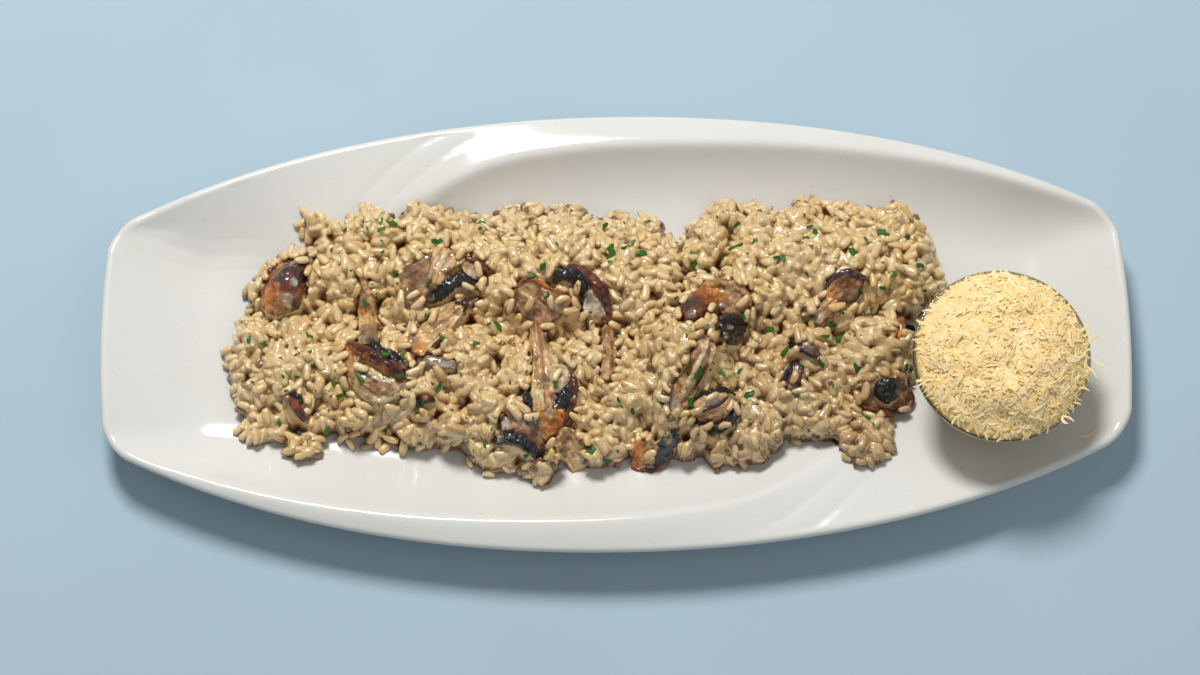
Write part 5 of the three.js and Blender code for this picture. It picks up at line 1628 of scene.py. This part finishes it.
def make_pot():
    """The clear pot, from the middle of its foot over the rim to the middle of its floor inside."""
    outside = along_points(POT_OUTSIDE, 26)
    inside = along_points(POT_INSIDE, 24)
    lip = along_points((POT_OUTSIDE[-1], POT_RIM[0], POT_RIM[1], POT_INSIDE[0]), 8)[1:-1]
    base = ((0, 1.4), (9, 0.9), (12.6, 0.15), (13.6, 0))
    floor = ((11, POT_FLOOR + 0.35), (6, POT_FLOOR), (0, POT_FLOOR))
    profile = np.vstack([base, outside, lip, inside, floor])
    piece = rolled("glass_pot_clear", profile, 112, (*POT_AT, POT_BASE))
    finish_piece(piece, glass_finish(), ["glass_pot"])


def mound_height(x, y, dome):
    """Height of the cheese over the rim at a place measured from the middle of the pot."""
    share = np.hypot(x, y) / MOUND_RADIUS
    lumps = 1.3 * noise(x, y, 0, 9, 31) + 0.9 * noise(x, y, 0, 4, 32) + 0.45 * noise(x, y, 0, 1.8, 33)
    height = dome * np.clip(1 - share**2.6, 0, 1) * 0.9 + lumps * smooth(1.05, 0.8, share)
    return np.minimum(height, dome - 0.8)


def make_cheese(settings, random):
    """The mound in the pot and the shreds on it."""
    dome = settings.dome / MM
    make_mound(settings, dome)
    make_shreds(settings, dome, random)


def make_mound(settings, dome):
    """The cheese that fills the pot and stands over it, under its topmost shreds."""
    wall = along_points(POT_INSIDE[::-1], 40)
    wall[:, 0] += 0.35
    top = [(MOUND_RADIUS * share, POT_HEIGHT) for share in np.linspace(1, 0, 60)]
    profile = np.vstack([((0, POT_FLOOR - 0.3), (8, POT_FLOOR - 0.2)), wall, top])
    domed = len(profile) - len(top)

    def ruffled(angle, radius, height, row):
        x, y = radius * np.cos(angle), radius * np.sin(angle)
        return radius, np.where(row >= domed, POT_HEIGHT + 0.2 + mound_height(x, y, dome), height)

    mound = rolled("cheese_mound", profile, 170, (*POT_AT, POT_BASE), ruffled)
    points = read_points(mound) / MM
    over = smooth(RIM_HEIGHT, RIM_HEIGHT + 4, points[:, 2])
    points[:, :2] += over[:, None] * CHEESE_LEAN
    put_points(mound, points)
    # Painted light: below the rim, where the cheese is seen through the glass, it is painted whiter.
    painted_light_behind_glass = smooth(RIM_HEIGHT + 1, RIM_HEIGHT - 2, points[:, 2])
    tone = 0.1 + 0.9 * painted_light_behind_glass + 0.25 * noise(*points.T, 3, 34) + 0.5 * noise(*points.T, 1.3, 35)
    give_values(mound, "tone", tone)
    finish_piece(mound, cheese_finish("cheese_inside", settings, 0.5), ["grated_cheese"])


def make_shreds(settings, dome, random):
    """Shreds all over the mound, those that stick out over the rim, and crumbs on the platter."""
    shapes, faces = shred_shapes(random)
    proud = np.array(PROUD_SHREDS)
    count = settings.shreds + len(proud)
    share = np.sqrt(random.uniform(0, 1, settings.shreds))
    angle = random.uniform(0, TURN, settings.shreds)
    x = np.r_[(MOUND_RADIUS - 0.4) * share * np.cos(angle) + CHEESE_LEAN[0], proud[:, 0]]
    y = np.r_[(MOUND_RADIUS - 0.4) * share * np.sin(angle) + CHEESE_LEAN[1], proud[:, 1]]
    yaw = np.r_[random.uniform(0, TURN, settings.shreds), np.radians(proud[:, 2])]

    def ground(at_x, at_y):
        return mound_height(at_x - CHEESE_LEAN[0], at_y - CHEESE_LEAN[1], dome)

    step = 1.6
    fall_x = (ground(x + step, y) - ground(x - step, y)) / (2 * step)
    fall_y = (ground(x, y + step) - ground(x, y - step)) / (2 * step)
    slope, roll = lying(fall_x, fall_y, yaw, 1.0, 0.7)
    slope += random.normal(0, 0.07, count)
    roll += random.normal(0, 0.22, count)
    lift = np.r_[random.uniform(-0.35, 0.45, settings.shreds), np.full(len(proud), 0.8)]
    places = np.c_[POT_AT[0] + x, POT_AT[1] + y, RIM_HEIGHT + 0.35 + ground(x, y) + lift]
    places[:, 2] = np.minimum(places[:, 2], RIM_HEIGHT + dome - 1.3)
    crumbs = slice(-CRUMBS_ON_PLATTER, None)
    places[crumbs, 2] = platter_top(*places[crumbs, :2].T) + 0.5
    slope[crumbs] = 0
    roll[-len(proud):] = 0.2
    size = random.uniform(0.75, 1.2, count)
    piece = copies_piece("cheese_shreds", shapes, faces, places, frames_from(yaw, slope, roll), size)
    bpy.ops.object.shade_flat()
    # Shreds that lie higher are painted whiter, a painted light, and lower ones goldener, a painted shade;
    # the rest is at random.
    tone = np.clip(0.75 * random.random(count) + 0.7 * (lift + 0.35) - 0.1, 0, 1)
    give_values(piece, "tone", np.repeat(tone, shapes.shape[1]))
    finish_piece(piece, cheese_finish("grated_cheese_shreds", settings, 0.0))


def shred_shapes(random, count=16):
    """Fine grated shreds: thin flat strips, each bent its own way."""
    steps = 4
    shapes = []
    for _ in range(count):
        length = random.uniform(3.0, 7.6)
        width = random.uniform(0.6, 1.35)
        bend = random.uniform(-1.0, 1.0)
        rise = random.uniform(-0.1, 0.5)
        rings = []
        for k in np.linspace(-0.5, 0.5, steps + 1):
            taper = 0.5 if abs(k) > 0.45 else 1.0
            y = bend * (2 * k) ** 2
            z = -rise * (2 * k) ** 2
            half = 0.5 * width * taper
            rings += [(k * length, y - half, z), (k * length, y + half, z)]
            rings += [(k * length, y + 0.8 * half, z + 0.3), (k * length, y - 0.8 * half, z + 0.3)]
        shapes.append(rings)
    faces = []
    for a in range(0, 4 * steps, 4):
        faces += [(a + i, a + 4 + i, a + 4 + (i + 1) % 4, a + (i + 1) % 4) for i in range(4)]
    end = 4 * steps
    faces += [(0, 1, 2, 3), (end + 3, end + 2, end + 1, end)]
    return np.array(shapes), faces


# ---------------------------------------------------------------- stage

def add_light(name, place, size, power, colour):
    """A round soft light that points at the middle of the platter."""
    bpy.ops.object.light_add(type="AREA", location=place)
    light = bpy.context.object
    light.name = name
    light.data.shape = "DISK"
    light.data.size = size
    light.data.energy = power
    light.data.color = colour
    aim = -np.array(place) / np.linalg.norm(place)
    light.rotation_euler = (math.acos(-aim[2]), 0, math.atan2(aim[1], aim[0]) - math.pi / 2)


def make_stage(settings):
    """The floor, the lights, the room's soft light and the camera."""
    bpy.ops.object.select_all(action="DESELECT")
    bpy.ops.mesh.primitive_plane_add(size=6, location=(0, 0, -0.0002))
    floor = bpy.context.object
    floor.name = "floor"
    floor.data.materials.append(floor_finish(settings))

    add_light("key_light", (-0.22, 0.74, 1.24), 0.4, settings.key_power, (1.0, 0.985, 0.96))
    add_light("side_fill", (0.8, -0.5, 1.35), 1.2, 0.16 * settings.key_power, (1.0, 0.98, 0.94))

    world = bpy.data.worlds.new("soft_room")
    bpy.context.scene.world = world
    world.use_nodes = True
    background = world.node_tree.nodes["Background"]
    background.inputs["Color"].default_value = (0.93, 0.96, 1.0, 1)
    background.inputs["Strength"].default_value = settings.fill

    bpy.ops.object.camera_add(
        location=(-0.0120, -0.3415, 1.1786), rotation=(math.radians(16.3), 0, math.radians(-0.974)))
    camera = bpy.context.object
    camera.data.lens = 90.97
    camera.data.sensor_width = 36
    camera.data.sensor_fit = "HORIZONTAL"
    camera.data.clip_start = 0.01
    bpy.context.scene.camera = camera
    bpy.context.scene.view_settings.view_transform = "Standard"


# ---------------------------------------------------------------- operators

class AddPlatter(bpy.types.Operator):
    """Models the porcelain platter with its swirled edge"""
    bl_idname = "risotto.add_platter"
    bl_label = "Add Platter"

    def execute(self, context):
        make_platter(context.scene.risotto_platter)
        return {"FINISHED"}


class AddMushrooms(bpy.types.Operator):
    """Models every piece of fried mushroom"""
    bl_idname = "risotto.add_mushrooms"
    bl_label = "Add Mushrooms"

    def execute(self, context):
        finishes = {kind: mushroom_finish("mushroom_" + kind) for kind in ("brown", "dark", "pale")}
        heap = HEAP["map"] = HeapMap()
        for seed, (name, facts) in enumerate(MUSHROOMS.items()):
            heap.stamp(make_mushroom(name, facts, finishes[facts["slot"]], seed + 1))
        return {"FINISHED"}


class AddRice(bpy.types.Operator):
    """Heaps the rice round the mushrooms, with the sauce between the grains"""
    bl_idname = "risotto.add_rice"
    bl_label = "Add Rice"

    def execute(self, context):
        settings = context.scene.risotto_rice
        make_grains(HEAP["map"], settings, np.random.default_rng(SEEDS["rice"]))
        make_sauce(HEAP["map"], settings)
        return {"FINISHED"}


class AddParsley(bpy.types.Operator):
    """Strews chopped parsley over the rice"""
    bl_idname = "risotto.add_parsley"
    bl_label = "Add Parsley"

    def execute(self, context):
        random = np.random.default_rng(SEEDS["parsley"])
        make_parsley(HEAP["map"], context.scene.risotto_garnish, random)
        return {"FINISHED"}


class AddPot(bpy.types.Operator):
    """Models the small glass pot"""
    bl_idname = "risotto.add_pot"
    bl_label = "Add Glass Pot"

    def execute(self, context):
        make_pot()
        return {"FINISHED"}


class AddCheese(bpy.types.Operator):
    """Fills the pot with grated cheese"""
    bl_idname = "risotto.add_cheese"
    bl_label = "Add Grated Cheese"

    def execute(self, context):
        make_cheese(context.scene.risotto_cheese, np.random.default_rng(SEEDS["cheese"]))
        return {"FINISHED"}


class AddStage(bpy.types.Operator):
    """Adds the floor, the lights and the camera"""
    bl_idname = "risotto.add_stage"
    bl_label = "Add Stage"

    def execute(self, context):
        make_stage(context.scene.risotto_stage)
        return {"FINISHED"}


OPERATORS = (AddPlatter, AddMushrooms, AddRice, AddParsley, AddPot, AddCheese, AddStage)


class RisottoPanel(bpy.types.Panel):
    bl_idname = "VIEW3D_PT_risotto"
    bl_label = "Mushroom Risotto"
    bl_space_type = "VIEW_3D"
    bl_region_type = "UI"
    bl_category = "Risotto"

    def draw(self, context):
        for operator in OPERATORS:
            self.layout.operator(operator.bl_idname)
        for key, group in SETTINGS.items():
            box = self.layout.box()
            for name in group.__annotations__:
                box.prop(getattr(context.scene, key), name)


def register():
    for each in (*SETTINGS.values(), *OPERATORS, RisottoPanel):
        bpy.utils.register_class(each)
    for key, group in SETTINGS.items():
        setattr(bpy.types.Scene, key, bpy.props.PointerProperty(type=group))


def unregister():
    for key in SETTINGS:
        delattr(bpy.types.Scene, key)
    for each in reversed((*SETTINGS.values(), *OPERATORS, RisottoPanel)):
        bpy.utils.unregister_class(each)


def main():
    register()
    for step in ("platter", "mushrooms", "rice", "parsley", "pot", "cheese", "stage"):
        getattr(bpy.ops.risotto, "add_" + step)()


if __name__ == "__main__":
    main()
